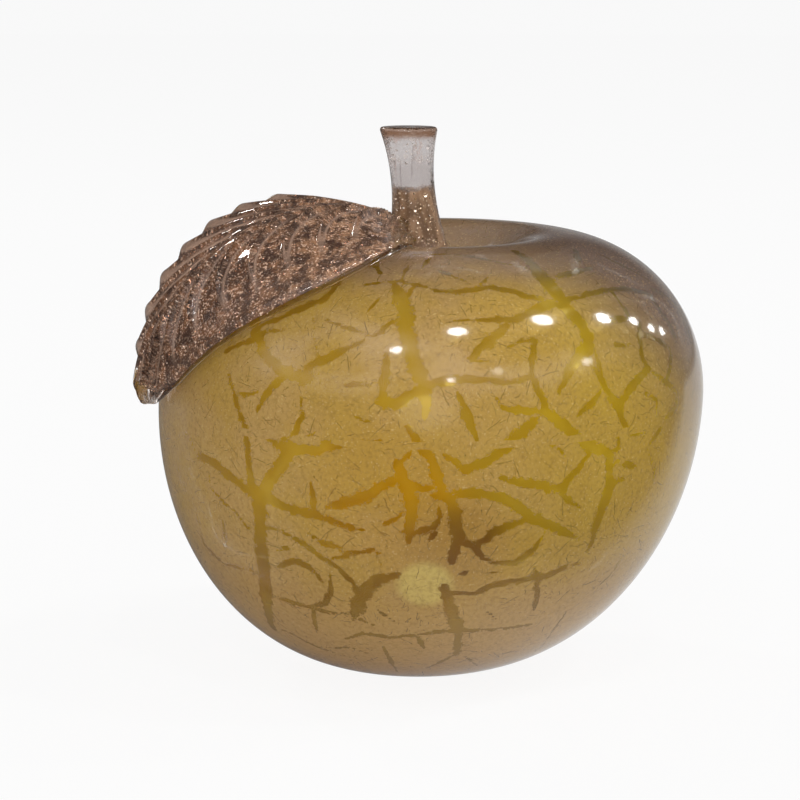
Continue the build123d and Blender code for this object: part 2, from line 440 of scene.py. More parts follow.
class ShaderGraph(NodeGraph):
    """Adds and joins the shader nodes of one material."""

    def __init__(self, name: str) -> None:
        """Starts an empty material with the given name, and its place in metres and in millimetres."""
        self.material = bpy.data.materials.new(name)
        self.material.use_nodes = True
        super().__init__(self.material.node_tree)
        self.output = self.node("ShaderNodeOutputMaterial")
        self.place = self.node("ShaderNodeTexCoord").outputs["Object"]
        self.spot = self.vector("DIVIDE", self.place, (MM, MM, MM))

    def attribute(self, name: str) -> Socket:
        """Number that the mesh keeps under a name."""
        return self.node("ShaderNodeAttribute", attribute_name=name).outputs["Fac"]

    def ramp(self, source: object, low: float, high: float, start: float = 0.0, end: float = 1.0) -> Socket:
        """Smoothly maps a number from one range to another, held at both ends."""
        sources = {"Value": source, "From Min": low, "From Max": high, "To Min": start, "To Max": end}
        return self.node("ShaderNodeMapRange", sources, interpolation_type="SMOOTHSTEP").outputs["Result"]

    def blend(self, share: object, first: object, second: object) -> Socket:
        """Mixes two colours by a share."""
        made = self.node("ShaderNodeMix", data_type="RGBA")
        self.feed(made.inputs["Factor"], share)
        return self.feed_kind(made, "RGBA", first, second)

    def noise(
        self, scale: float, detail: float = 3.0, rough: float = 0.55, place: Socket | None = None
    ) -> Socket:
        """Soft random numbers that follow the object's own place, or a given one."""
        sources = {"Vector": self.place if place is None else place}
        sources |= {"Scale": scale, "Detail": detail, "Roughness": rough}
        return self.node("ShaderNodeTexNoise", sources).outputs["Fac"]

    def drawn_noise(self, stretch: tuple, *settings: float) -> Socket:
        """Soft random numbers that are drawn out along an axis whose stretch is under 1."""
        return self.noise(*settings, place=self.vector("MULTIPLY", self.place, stretch))

    def loose_vector(self, scale: float, place: Socket) -> Socket:
        """Soft random vectors, with parts from 0 to 1, that follow a place."""
        return self.node("ShaderNodeTexNoise", {"Vector": place, "Scale": scale}).outputs["Color"]

    def swing(self, number: Socket, size: float) -> Socket:
        """Turns a number between 0 and 1 into one that swings to both sides of 0."""
        return self.product(self.math("SUBTRACT", number, 0.5), size)

    def away_from(self, centre: tuple) -> Socket:
        """Distance of the object's own place from a centre, both in millimetres."""
        return self.vector("DISTANCE", self.spot, centre)

    def bump(self, height: Socket, strength: float, distance: float) -> Socket:
        """Turns a height into a bent normal."""
        sources = {"Strength": strength, "Distance": distance * MM, "Height": height}
        return self.node("ShaderNodeBump", sources).outputs["Normal"]

    def principled(self, **sockets: object) -> bpy.types.Node:
        """Adds a principled shader with the given sockets, named with underscores for spaces."""
        sources = {name.replace("_", " "): value for name, value in sockets.items()}
        return self.node("ShaderNodeBsdfPrincipled", sources)

    def clear(self, tint: tuple = WHITE) -> bpy.types.Node:
        """Adds a shader that lets light through unbent, tinted."""
        return self.node("ShaderNodeBsdfTransparent", {"Color": tint})

    def mix(self, share: object, first: bpy.types.Node, second: bpy.types.Node) -> bpy.types.Node:
        """Mixes two shaders by a share."""
        return self.node("ShaderNodeMixShader", {0: share, 1: first.outputs[0], 2: second.outputs[0]})

    def glass(self, lamp_tint: tuple, clearness: float = 1.0, **sockets: object) -> bpy.types.Node:
        """Adds glass that is clear to rays from lamps, so that what is behind it is lit.

        Args:
            lamp_tint: colour of the light that it lets through.
            clearness: share of what is seen that comes through it.
            sockets: other sockets of its principled shader.

        Returns:
            The mixed shader.
        """
        shader = self.principled(IOR=GLASS_IOR, Transmission_Weight=clearness, **sockets)
        rays = self.node("ShaderNodeLightPath").outputs
        lit = self.math("MAXIMUM", rays["Is Shadow Ray"], rays["Is Diffuse Ray"])
        return self.mix(lit, shader, self.clear(lamp_tint))

    def finish(self, shader: bpy.types.Node) -> bpy.types.Material:
        """Joins the shader to the output and returns the material."""
        self.feed(self.output.inputs["Surface"], shader.outputs[0])
        return self.material


@dataclass(frozen=True)
class Stain:
    """Colour laid over another one, with a cover that changes along some number."""

    colour: tuple
    start: float
    end: float
    before: float = 0.0
    after: float = 1.0

    def over(self, graph: ShaderGraph, below: object, number: Socket) -> Socket:
        """Lays the colour over another one.

        Args:
            graph: material that gets the nodes.
            below: colour that is covered.
            number: what the cover follows.

        Returns:
            The mixed colour.
        """
        cover = graph.ramp(number, self.start, self.end, self.before, self.after)
        return graph.blend(cover, below, self.colour)


@dataclass(frozen=True)
class Spot(Stain):
    """Stain around a centre, full as far as its start and faded out at its end."""

    after: float = 0.0
    centre: tuple = (0.0, 0.0, 0.0)

    def around(self, graph: ShaderGraph, below: object, sway: object = 0.0) -> Socket:
        """Lays the colour around the centre.

        Args:
            graph: material that gets the nodes.
            below: colour that is covered.
            sway: distance by which the edge moves in and out.

        Returns:
            The mixed colour.
        """
        return self.over(graph, below, graph.math("ADD", graph.away_from(self.centre), sway))


@dataclass(frozen=True)
class Finish:
    """Material of one kind of surface."""

    name: str

    def build(self) -> bpy.types.Material:
        """Makes the material."""
        graph = ShaderGraph(self.name)
        return graph.finish(self.shader(graph))

    def shader(self, graph: ShaderGraph) -> bpy.types.Node:
        """Adds the finish's own nodes to a material and returns the shader that they end in."""
        raise NotImplementedError


@dataclass(frozen=True)
class ClearGlass(Finish):
    """Fire-polished clear glass."""

    name: str = "clear_glass"
    tint: tuple = (1.0, 0.995, 0.985, 1.0)
    roughness: float = 0.0

    def shader(self, graph: ShaderGraph) -> bpy.types.Node:
        """Adds plain glass."""
        return graph.glass(self.tint, Base_Color=self.tint, Roughness=self.roughness)


@dataclass(frozen=True)
class StemGlass(Finish):
    """Grey glass of the stem, clear at its foot, brown along its top edge and furrowed lengthwise."""

    name: str = "stem_glass"
    foot: tuple = (0.86, 0.82, 0.80, 1.0)
    shaft: tuple = (0.56, 0.52, 0.51, 1.0)
    shaft_rise: tuple = (113.0, 115.5)
    cap: Stain = Stain((0.24, 0.13, 0.08, 1.0), 125.4, 127.2)
    crease: Stain = Stain((0.24, 0.20, 0.19, 1.0), 0.62, 0.68, 0.0, 0.8)
    blush: Stain = Stain((0.46, 0.31, 0.26, 1.0), 0.32, 0.42, 0.8, 0.0)
    stretch: tuple = (1.0, 1.0, 0.12)
    furrow_noise: tuple = (420.0, 2.0, 0.5)
    pit_noise: tuple = (780.0, 2.0)
    pit_rise: tuple = (112.0, 122.0, 0.1, 0.9)
    roughness: float = 0.03
    relief: tuple = (0.5, 0.7)

    def shader(self, graph: ShaderGraph) -> bpy.types.Node:
        """Adds glass with furrows and, towards its top, pits."""
        height = graph.axes(graph.spot)["Z"]
        furrow = graph.drawn_noise(self.stretch, *self.furrow_noise)
        shaft = self.crease.over(graph, self.shaft, furrow)
        shaft = self.blush.over(graph, shaft, furrow)
        colour = graph.blend(graph.ramp(height, *self.shaft_rise), self.foot, shaft)
        colour = self.cap.over(graph, colour, height)
        pits = graph.product(graph.noise(*self.pit_noise), graph.ramp(height, *self.pit_rise))
        normal = graph.bump(graph.math("ADD", furrow, pits), *self.relief)
        return graph.glass(self.foot, Base_Color=colour, Roughness=self.roughness, Normal=normal)


@dataclass(frozen=True)
class LeafGlass(Finish):
    """Clear glass of the leaf, combed with fine furrows towards its near margin."""

    name: str = "leaf_glass"
    tint: tuple = (0.94, 0.87, 0.81, 1.0)
    roughness: float = 0.05
    bend_noise: tuple = (260.0, 3.0)
    bend: float = 2.4
    comb_height: float = 0.3
    soft_noise: tuple = (170.0, 2.0)
    soft_height: float = 2.0
    relief: tuple = (0.7, 0.1)

    def shader(self, graph: ShaderGraph) -> bpy.types.Node:
        """Adds glass that reads the comb's phase and depth kept on the mesh."""
        bend = graph.product(graph.noise(*self.bend_noise), self.bend)
        phase = graph.math("ADD", graph.attribute("phase"), bend)
        wave = graph.math("SINE", graph.product(phase, 2 * math.pi))
        comb = graph.product(wave, graph.attribute("comb"), self.comb_height)
        soft = graph.product(graph.noise(*self.soft_noise), self.soft_height)
        normal = graph.bump(graph.math("ADD", comb, soft), *self.relief)
        return graph.glass(self.tint, Base_Color=self.tint, Roughness=self.roughness, Normal=normal)


@dataclass(frozen=True)
class FusedJoint(Finish):
    """Joint between two fused layers of glass, which nothing mirrors or bends."""

    name: str = "fused_joint"

    def shader(self, graph: ShaderGraph) -> bpy.types.Node:
        """Adds a shader that isn't seen."""
        return graph.clear()


@dataclass(frozen=True)
class AmberGlass(Finish):
    """Transparent amber glass of the inner bubble, streaked from honey to orange and brown, with painted
    light on the right, painted shade on the crest and the right shoulder and a painted dark reflection in
    front.
    """

    name: str = "amber_glass"
    honey: tuple = (0.60, 0.385, 0.022, 1.0)
    # Painted light: the amber turns brighter lemon yellow on the right, where light shines through it.
    backlit_lemon: Stain = Stain((0.68, 0.48, 0.018, 1.0), 5.0, 45.0)
    ember: Spot = Spot((0.66, 0.345, 0.006, 1.0), 9.6, 24.0, 1.0, centre=(-6.0, -58.0, 50.0))
    # Painted dark reflection: a dark brown patch in the amber, low in front.
    dark_reflection: Spot = Spot((0.28, 0.13, 0.012, 1.0), 6.0, 15.0, 0.95, centre=(9.0, -55.0, 40.0))
    brown: Stain = Stain((0.30, 0.18, 0.05, 1.0), 22.0, 42.0, 0.9, 0.0)
    # Painted shade: the amber turns dark brown over the crest, where little light falls from above.
    crest: Stain = Stain((0.11, 0.055, 0.014, 1.0), 90.0, 106.0, 0.0, 0.85)
    # Painted shade: the amber turns dark brown on the upper right shoulder, which faces away from the light.
    shoulder_shade: Spot = Spot((0.11, 0.055, 0.014, 1.0), 12.9, 43.0, 0.9, centre=(52.0, -4.0, 95.0))
    lamp_tint: tuple = (0.95, 0.72, 0.18, 1.0)
    mirror_tint: tuple = (1.0, 0.8, 0.15, 1.0)
    clearness: float = 0.4
    roughness: float = 0.06
    streak_noise: tuple = (55.0, 3.0)
    streak: float = 30.0

    def shader(self, graph: ShaderGraph) -> bpy.types.Node:
        """Adds the streaked amber, with its painted light, shade and dark reflection."""
        axes = graph.axes(graph.spot)
        streak = graph.swing(graph.noise(*self.streak_noise), self.streak)
        side = graph.math("ADD", axes["X"], streak)
        height = graph.math("ADD", axes["Z"], streak)
        # The lemon on the right is painted light, the dark patch in front is a painted dark reflection, and
        # the dark crest and right shoulder are painted shade.
        colour = self.backlit_lemon.over(graph, self.honey, side)
        colour = self.ember.around(graph, colour)
        colour = self.dark_reflection.around(graph, colour)
        colour = self.brown.over(graph, colour, height)
        colour = self.crest.over(graph, colour, height)
        colour = self.shoulder_shade.around(graph, colour, streak)
        return graph.glass(
            self.lamp_tint,
            self.clearness,
            Base_Color=colour,
            Roughness=self.roughness,
            Specular_Tint=self.mirror_tint,
        )


@dataclass(frozen=True)
class AmberBase(AmberGlass):
    """The same amber on the outside of the solid base, where it fades out upwards."""

    name: str = "amber_glass_base"
    rise: tuple = (20.0, 33.0)

    def shader(self, graph: ShaderGraph) -> bpy.types.Node:
        """Adds the amber, mixed with nothing further up."""
        rise = graph.ramp(graph.axes(graph.spot)["Z"], *self.rise)
        return graph.mix(rise, super().shader(graph), graph.clear())


@dataclass(frozen=True)
class Wrinkles:
    """Short straight wrinkles, one in each random cell, that lie roughly alike in each patch."""

    cells: float
    half_length: float
    half_width: float
    bend: float = 1.6
    bend_cells: float = 1.2
    patches: float = 45.0
    likeness: float = 3.0
    lie_middle: float = 2.0
    soft_side: tuple = (0.5, 1.5)
    soft_end: tuple = (0.7, 1.0)
    kept: tuple = (0.25, 0.6)

    def add(self, graph: ShaderGraph) -> Socket:
        """Adds the wrinkles to a material and returns a number that is 1 on a wrinkle and 0 beside it."""
        loose = graph.loose_vector(self.cells * self.bend_cells, graph.place)
        place = graph.vector("MULTIPLY_ADD", loose, (self.bend * MM,) * 3, graph.place)
        cell = graph.node("ShaderNodeTexVoronoi", {"Vector": place, "Scale": self.cells}).outputs
        off = graph.vector("SUBTRACT", place, cell["Position"])
        patch = graph.loose_vector(self.patches, cell["Position"])
        lie = graph.vector("MULTIPLY_ADD", patch, (self.likeness,) * 3, cell["Color"])
        lie = graph.vector("SUBTRACT", lie, (self.lie_middle,) * 3)
        normal = graph.node("ShaderNodeNewGeometry").outputs["True Normal"]
        across = graph.vector("NORMALIZE", graph.vector("CROSS_PRODUCT", normal, lie))
        aside = graph.math("ABSOLUTE", graph.vector("DOT_PRODUCT", off, across))
        sides = (self.half_width * MM * part for part in self.soft_side)
        thin = graph.ramp(aside, *sides, 1.0, 0.0)
        ends = (self.half_length * MM * part for part in self.soft_end)
        short = graph.ramp(graph.vector("LENGTH", off), *ends, 1.0, 0.0)
        lot = graph.node("ShaderNodeSeparateColor", {0: cell["Color"]}).outputs[1]
        return graph.product(thin, short, graph.ramp(lot, *self.kept))


@dataclass(frozen=True)
class GiltLeaf(Finish):
    """Metal leaf torn into islands, seen through the casing, with painted light and shade in its colour."""

    name: str = "gilt_leaf"
    tan: tuple = (0.475, 0.30, 0.058, 1.0)
    rose: Stain = Stain((0.49, 0.315, 0.11, 1.0), 0.35, 0.65)
    # Painted light: the film turns yellower on the right, above the foot, where light shines through it.
    gold: tuple = (0.46, 0.30, 0.035, 1.0)
    backlight_side: tuple = (10.0, 42.0, 0.0, 0.7)
    backlight_rise: tuple = (22.0, 46.0)
    # Painted shade: the film is darker over the crest, where little light falls from above.
    crest: Stain = Stain((0.29, 0.182, 0.125, 1.0), 89.0, 105.0)
    # Painted light: the film turns lighter low down, as if lit by light thrown up from the floor.
    foot: Stain = Stain((0.585, 0.38, 0.15, 1.0), 14.0, 36.0, 0.8, 0.0)
    # Painted dark reflection: a darker brown patch on the film, low in front.
    ember: Spot = Spot((0.40, 0.22, 0.03, 1.0), 0.0, 22.0, 0.85, centre=(8.0, -60.0, 44.0))
    # Painted shade: the film turns dark on the upper right shoulder, which faces away from the light.
    shoulder_shade: Spot = Spot((0.16, 0.095, 0.075, 1.0), 19.6, 56.0, 0.95, centre=(52.0, 0.0, 98.0))
    # Painted glow: a pale yellow spot of light low in front, where light gathers inside the glass.
    thin: Spot = Spot((0.70, 0.55, 0.16, 1.0), 4.5, 7.5, 0.8, centre=(1.8, -54.6, 32.1))
    shade: Stain = Stain((0.17, 0.09, 0.02, 1.0), 0.42, 0.7, 0.0, 0.42)
    spark: Stain = Stain((0.80, 0.60, 0.28, 1.0), 0.6, 0.7, 0.0, 0.5)
    patch_noise: tuple = (38.0, 4.0, 0.6)
    sway: float = 16.0
    grain_noise: tuple = (1150.0, 4.0, 0.7)
    spark_noise: tuple = (2300.0, 2.0)
    rag_noise: tuple = (520.0, 6.0, 0.8)
    rag: float = 3.0
    waver_noise: tuple = (190.0, 2.0, 0.5)
    waver: float = 0.6
    tear_edge: tuple = (-0.06, 0.1)
    hairs: tuple = (Wrinkles(330.0, 1.5, 0.06), Wrinkles(560.0, 0.9, 0.045), Wrinkles(190.0, 2.6, 0.08))
    hair_noise: tuple = (75.0, 3.0, 0.6)
    hair_patches: tuple = (0.36, 0.56, 0.2, 1.0)
    hair_shade: float = 0.85
    hair_clear: float = 0.25
    opacity: float = 0.7
    metallic: float = 0.12
    roughness: float = 0.48
    gloss: float = 0.25
    grain_height: float = 0.5
    relief: tuple = (0.4, 0.12)

    def shader(self, graph: ShaderGraph) -> bpy.types.Node:
        """Adds the leaf, which reads the tear distance kept on the mesh."""
        grain = graph.noise(*self.grain_noise)
        hair = self.hair(graph)
        colour = self.shade.over(graph, self.colour(graph), grain)
        colour = self.spark.over(graph, colour, graph.noise(*self.spark_noise))
        colour = graph.blend(graph.product(hair, self.hair_shade), colour, self.shade.colour)
        cover = graph.math("SUBTRACT", self.opacity, graph.product(hair, self.hair_clear))
        height = graph.math("SUBTRACT", graph.product(grain, self.grain_height), hair)
        return graph.principled(
            Base_Color=colour,
            Metallic=self.metallic,
            Roughness=self.roughness,
            Specular_IOR_Level=self.gloss,
            Alpha=graph.product(self.whole(graph), cover),
            Normal=graph.bump(height, *self.relief),
        )

    def whole(self, graph: ShaderGraph) -> Socket:
        """Adds a number that is 1 on the leaf and 0 in its tears, with a ragged edge."""
        rag = graph.swing(graph.noise(*self.rag_noise), self.rag)
        waver = graph.swing(graph.noise(*self.waver_noise), self.waver)
        distance = graph.math("ADD", graph.attribute("tear"), graph.math("ADD", rag, waver))
        return graph.ramp(distance, *self.tear_edge)

    def hair(self, graph: ShaderGraph) -> Socket:
        """Adds a number that is 1 on hair-fine cracks, weaker in some patches than in others."""
        first, *others = [kind.add(graph) for kind in self.hairs]
        for other in others:
            first = graph.math("MAXIMUM", first, other)
        return graph.product(first, graph.ramp(graph.noise(*self.hair_noise), *self.hair_patches))

    def colour(self, graph: ShaderGraph) -> Socket:
        """Adds the leaf's broad colours, from patch to patch of the apple, with painted light and shade laid
        over them.
        """
        axes = graph.axes(graph.spot)
        patch = graph.noise(*self.patch_noise)
        sway = graph.swing(patch, self.sway)
        side = graph.math("ADD", axes["X"], sway)
        height = graph.math("ADD", axes["Z"], sway)
        colour = self.rose.over(graph, self.tan, patch)
        # From here on the colour carries painted light and shade: yellower on the right, darker on the crest,
        # lighter low down, a dark reflection, a darker right shoulder and a pale glow.
        backlit = graph.product(graph.ramp(side, *self.backlight_side), graph.ramp(height, *self.backlight_rise))
        colour = graph.blend(backlit, colour, self.gold)
        colour = self.crest.over(graph, colour, height)
        colour = self.foot.over(graph, colour, height)
        colour = self.ember.around(graph, colour, sway)
        colour = self.shoulder_shade.around(graph, colour, sway)
        return self.thin.around(graph, colour)


@dataclass(frozen=True)
class CopperDust(Finish):
    """Glass packed with copper dust, paler along the ribs where clear glass is thick."""

    name: str = "copper_fleck_glass"
    dust: tuple = (0.28, 0.135, 0.065, 1.0)
    root: Stain = Stain((0.52, 0.31, 0.18, 1.0), -42.0, -14.0)
    deep: tuple = (0.06, 0.03, 0.02, 1.0)
    spark: tuple = (1.0, 0.77, 0.61, 1.0)
    pale: Stain = Stain((0.37, 0.26, 0.20, 1.0), -0.2, 0.7, 0.0, 0.9)
    olive: tuple = (0.24, 0.155, 0.07, 1.0)
    olive_share: float = 0.8
    cloud_noise: tuple = (330.0, 5.0, 0.7)
    cloud_dust: tuple = (0.4, 0.68)
    cloud_sparks: tuple = (0.4, 0.56, 0.15, 1.0)
    cloud_cover: tuple = (0.2, 0.5, 0.8, 0.97)
    dot_noise: tuple = (2100.0, 2.0, 0.6)
    dot_sparks: tuple = (0.55, 0.64)
    dot_roughness: tuple = (0.3, 0.8, 0.5, 0.25)
    metallic: float = 0.5
    relief: tuple = (0.9, 0.3)

    def shader(self, graph: ShaderGraph) -> bpy.types.Node:
        """Adds the dust, which reads the rib height and the scroll kept on the mesh."""
        cloud = graph.noise(*self.cloud_noise)
        dots = graph.noise(*self.dot_noise)
        dust = self.root.over(graph, self.dust, graph.axes(graph.spot)["X"])
        colour = graph.blend(graph.ramp(cloud, *self.cloud_dust), self.deep, dust)
        sparks = graph.product(graph.ramp(dots, *self.dot_sparks), graph.ramp(cloud, *self.cloud_sparks))
        colour = graph.blend(sparks, colour, self.spark)
        colour = self.pale.over(graph, colour, graph.attribute("rib"))
        scroll = graph.product(graph.attribute("scroll"), self.olive_share)
        return graph.principled(
            Base_Color=graph.blend(scroll, colour, self.olive),
            Metallic=self.metallic,
            Roughness=graph.ramp(dots, *self.dot_roughness),
            Alpha=graph.ramp(cloud, *self.cloud_cover),
            Normal=graph.bump(dots, *self.relief),
        )


@dataclass(frozen=True)
class GoldDust(Finish):
    """Clear glass with gold dust that thickens towards the foot of the stem."""

    name: str = "gold_fleck_glass"
    smoke: tuple = (0.55, 0.50, 0.48, 1.0)
    gold: tuple = (0.42, 0.265, 0.15, 1.0)
    umber: Stain = Stain((0.20, 0.115, 0.06, 1.0), 0.42, 0.6)
    spark: Stain = Stain((0.90, 0.74, 0.52, 1.0), 0.58, 0.7)
    cloud_noise: tuple = (300.0, 4.0, 0.65)
    sway: float = 5.0
    dot_noise: tuple = (1700.0, 2.0, 0.6)
    stretch: tuple = (1.0, 1.0, 0.2)
    streak_noise: tuple = (360.0, 2.0, 0.5)
    climb: tuple = (113.4, 115.4)
    cover: tuple = (0.0, 1.0, 0.9, 0.16)
    fade: tuple = (118.5, 123.0, 1.0, 0.0)
    metallic: float = 0.3
    roughness: float = 0.35
    relief: tuple = (0.6, 0.2)

    def shader(self, graph: ShaderGraph) -> bpy.types.Node:
        """Adds the dust and the streaks at the foot."""
        height = graph.axes(graph.spot)["Z"]
        sway = graph.swing(graph.noise(*self.cloud_noise), self.sway)
        climb = graph.ramp(graph.math("ADD", height, sway), *self.climb)
        dots = graph.noise(*self.dot_noise)
        brown = self.umber.over(graph, self.gold, graph.drawn_noise(self.stretch, *self.streak_noise))
        colour = graph.blend(climb, brown, self.smoke)
        return graph.principled(
            Base_Color=self.spark.over(graph, colour, dots),
            Metallic=self.metallic,
            Roughness=self.roughness,
            Alpha=graph.product(graph.ramp(climb, *self.cover), graph.ramp(height, *self.fade)),
            Normal=graph.bump(dots, *self.relief),
        )


@dataclass(frozen=True)
class FleckMetal(Finish):
    """Bright metal of single flecks, or the white of single bubbles where it isn't metallic."""

    colour: tuple
    pale: tuple
    metallic: float = 1.0
    roughness: float = 0.2
    patch_noise: tuple = (700.0, 1.0)
    patches: tuple = (0.4, 0.6)

    def shader(self, graph: ShaderGraph) -> bpy.types.Node:
        """Adds metal or white in two shades."""
        share = graph.ramp(graph.noise(*self.patch_noise), *self.patches)
        colour = graph.blend(share, self.colour, self.pale)
        return graph.principled(Base_Color=colour, Metallic=self.metallic, Roughness=self.roughness)


@dataclass(frozen=True)
class Tear:
    """One tear in the gilt film, as it runs across the picture."""

    start: float
    middle: float
    end: float
    path: tuple[tuple[float, float], ...]
    half_share: float = 0.6

    def half_widths(self, share: Array) -> Array:
        """Half of the tear's width, with its ragged edge, at shares of its length, in millimetres."""
        widths = np.interp(share, (0.0, 0.5, 1.0), (self.start, self.middle, self.end))
        return widths * self.half_share


def tear(start: float, middle: float, end: float, *path: tuple[float, float]) -> Tear:
    """Makes a tear from three widths in millimetres and its path in columns and rows of the picture."""
    return Tear(start, middle, end, path)


# Tears that show in front, by region, with their paths in the 800 by 800 picture

UNDER_LEAF_TEARS = (
    tear(1.9, 2.0, 2.4, (257, 303), (256, 330), (261, 347), (268, 358), (281, 369), (294, 375), (307, 378)),
    tear(0.8, 1.9, 1.0, (262, 325), (280, 318), (300, 309), (322, 300), (334, 289), (341, 277)),
    tear(0.9, 0.8, 0.3, (258, 332), (275, 331), (294, 328)),
    tear(1.6, 1.3, 0.9, (257, 339), (240, 344), (226, 351)),
    tear(0.5, 1.0, 0.5, (243, 316), (236, 328), (231, 340)),
    tear(0.5, 0.8, 0.4, (327, 320), (344, 327), (364, 333), (374, 336)),
    tear(0.5, 0.9, 0.4, (374, 336), (383, 332), (391, 321)),
    tear(1.4, 1.7, 0.6, (306, 369), (327, 358), (348, 348), (363, 341)),
    tear(0.3, 0.5, 0.3, (313, 312), (315, 340), (319, 358), (321, 384)),
    tear(0.3, 0.7, 0.3, (366, 314), (373, 305), (381, 297)),
    tear(1.5, 1.8, 0.9, (369, 258), (375, 265), (381, 273)),
    tear(0.5, 0.9, 0.7, (359, 286), (382, 282), (402, 282), (426, 287)),
)

LEFT_TEARS = (
    tear(0.7, 1.5, 1.6, (228, 371), (233, 391), (240, 413), (247, 437), (248, 458), (251, 482), (258, 498)),
    tear(2.6, 3.0, 2.9, (258, 498), (260, 517), (260, 540), (263, 563)),
    tear(2.9, 2.4, 1.6, (263, 563), (265, 587), (268, 608), (273, 628)),
    tear(0.6, 1.0, 0.4, (233, 393), (246, 395), (258, 392)),
    tear(0.6, 1.4, 1.6, (256, 412), (267, 393), (282, 377)),
    tear(0.5, 1.2, 1.6, (301, 396), (302, 417), (294, 437), (288, 450)),
    tear(2.2, 2.9, 2.7, (292, 448), (280, 467), (267, 486), (260, 500)),
    tear(0.6, 1.6, 2.0, (267, 440), (280, 445), (292, 449)),
    tear(2.0, 1.7, 0.6, (292, 449), (317, 450), (350, 443), (381, 441)),
    tear(0.5, 0.6, 0.2, (294, 443), (306, 438), (318, 431)),
    tear(0.3, 0.7, 0.3, (349, 414), (360, 419), (371, 422)),
    tear(1.6, 2.0, 1.9, (199, 456), (213, 462), (230, 476), (250, 492), (260, 499)),
    tear(1.8, 1.6, 1.0, (266, 498), (284, 507), (301, 512), (317, 515), (334, 522), (352, 529)),
    tear(0.4, 1.1, 1.4, (310, 481), (313, 496), (313, 511)),
    tear(0.4, 0.8, 0.5, (207, 467), (212, 490), (234, 511), (251, 531)),
    tear(0.4, 0.8, 0.6, (193, 497), (198, 520), (204, 544), (222, 562), (240, 568), (254, 570)),
    tear(0.4, 0.9, 0.4, (223, 519), (225, 536), (226, 554)),
    tear(0.4, 0.8, 0.5, (176, 460), (183, 484), (190, 500)),
    tear(0.3, 0.7, 0.4, (181, 425), (190, 440), (199, 456)),
)

LOW_LEFT_TEARS = (
    tear(0.6, 1.1, 1.2, (266, 526), (283, 532), (303, 543), (323, 558), (337, 568), (352, 581)),
    tear(1.2, 1.3, 1.3, (352, 581), (357, 592), (358, 604)),
    tear(0.4, 1.2, 0.5, (306, 532), (322, 543), (337, 547), (349, 551)),
    tear(0.5, 1.0, 0.4, (277, 551), (285, 548), (294, 548)),
    tear(0.9, 1.4, 0.5, (278, 567), (293, 560), (307, 565), (317, 575), (323, 583)),
    tear(0.4, 1.3, 1.0, (330, 572), (331, 592), (325, 603), (310, 607)),
    tear(1.0, 1.2, 0.5, (310, 607), (292, 602), (277, 597)),
    tear(0.9, 1.0, 0.6, (310, 607), (332, 613), (352, 615)),
    tear(0.8, 0.8, 0.3, (313, 611), (317, 631)),
    tear(0.4, 1.1, 0.5, (333, 558), (342, 557), (354, 557)),
    tear(0.3, 0.7, 0.3, (268, 623), (292, 634), (318, 647), (350, 657)),
)

MAIN_FRONT_TEARS = (
    tear(2.0, 3.3, 3.3, (396, 288), (404, 307), (407, 330)),
    tear(3.3, 2.9, 2.4, (407, 330), (412, 355), (420, 375), (425, 391)),
    tear(2.4, 2.0, 1.0, (425, 391), (426, 404), (425, 418)),
    tear(0.8, 1.5, 1.4, (432, 290), (455, 292), (475, 289), (490, 287), (510, 291), (527, 296), (541, 299)),
    tear(0.4, 0.9, 0.7, (437, 270), (455, 277), (470, 283)),
    tear(0.9, 0.6, 0.3, (472, 289), (485, 281), (490, 274)),
    tear(1.2, 1.7, 2.2, (494, 320), (515, 319), (535, 311), (551, 303)),
    tear(0.4, 0.6, 0.9, (454, 321), (470, 320), (494, 320)),
    tear(0.9, 2.3, 1.2, (471, 358), (485, 345), (499, 333), (508, 325)),
    tear(0.4, 0.6, 0.3, (471, 362), (484, 362), (496, 359)),
    tear(2.0, 1.9, 1.0, (424, 386), (450, 380), (465, 379), (487, 380)),
    tear(1.0, 1.2, 1.2, (487, 380), (506, 382), (520, 380), (531, 377)),
    tear(1.2, 1.5, 1.3, (535, 340), (532, 360), (531, 377)),
    tear(1.3, 1.5, 1.6, (531, 377), (540, 392), (547, 410)),
    tear(0.5, 1.3, 1.3, (494, 396), (504, 408), (524, 411), (545, 411)),
    tear(0.5, 1.9, 0.6, (457, 391), (464, 408), (471, 424), (477, 441)),
    tear(0.4, 0.9, 0.8, (506, 348), (521, 341), (534, 339)),
    tear(1.9, 1.9, 2.0, (379, 402), (398, 403), (419, 389)),
    tear(1.0, 1.7, 1.4, (386, 353), (385, 374), (381, 402)),
    tear(0.8, 1.2, 0.5, (345, 385), (362, 384), (379, 385)),
    tear(0.6, 0.9, 0.4, (378, 333), (392, 321)),
)

NEAR_LIP_TEARS = (
    tear(0.5, 0.8, 0.5, (412, 255), (442, 254), (467, 256), (492, 261), (515, 266), (537, 270)),
    tear(0.6, 0.9, 0.6, (422, 268), (430, 258)),
    tear(0.6, 0.9, 0.5, (402, 280), (408, 266)),
    tear(0.9, 0.9, 0.6, (408, 296), (412, 289), (418, 283)),
    tear(1.3, 2.2, 2.8, (514, 251), (530, 262), (543, 277)),
    tear(2.8, 3.4, 3.2, (543, 277), (553, 289), (563, 303)),
    tear(1.2, 1.5, 0.8, (558, 277), (575, 272), (591, 268)),
    tear(1.0, 1.4, 1.0, (575, 250), (580, 263)),
    tear(0.6, 0.9, 0.6, (595, 252), (615, 262), (640, 275), (652, 282)),
)

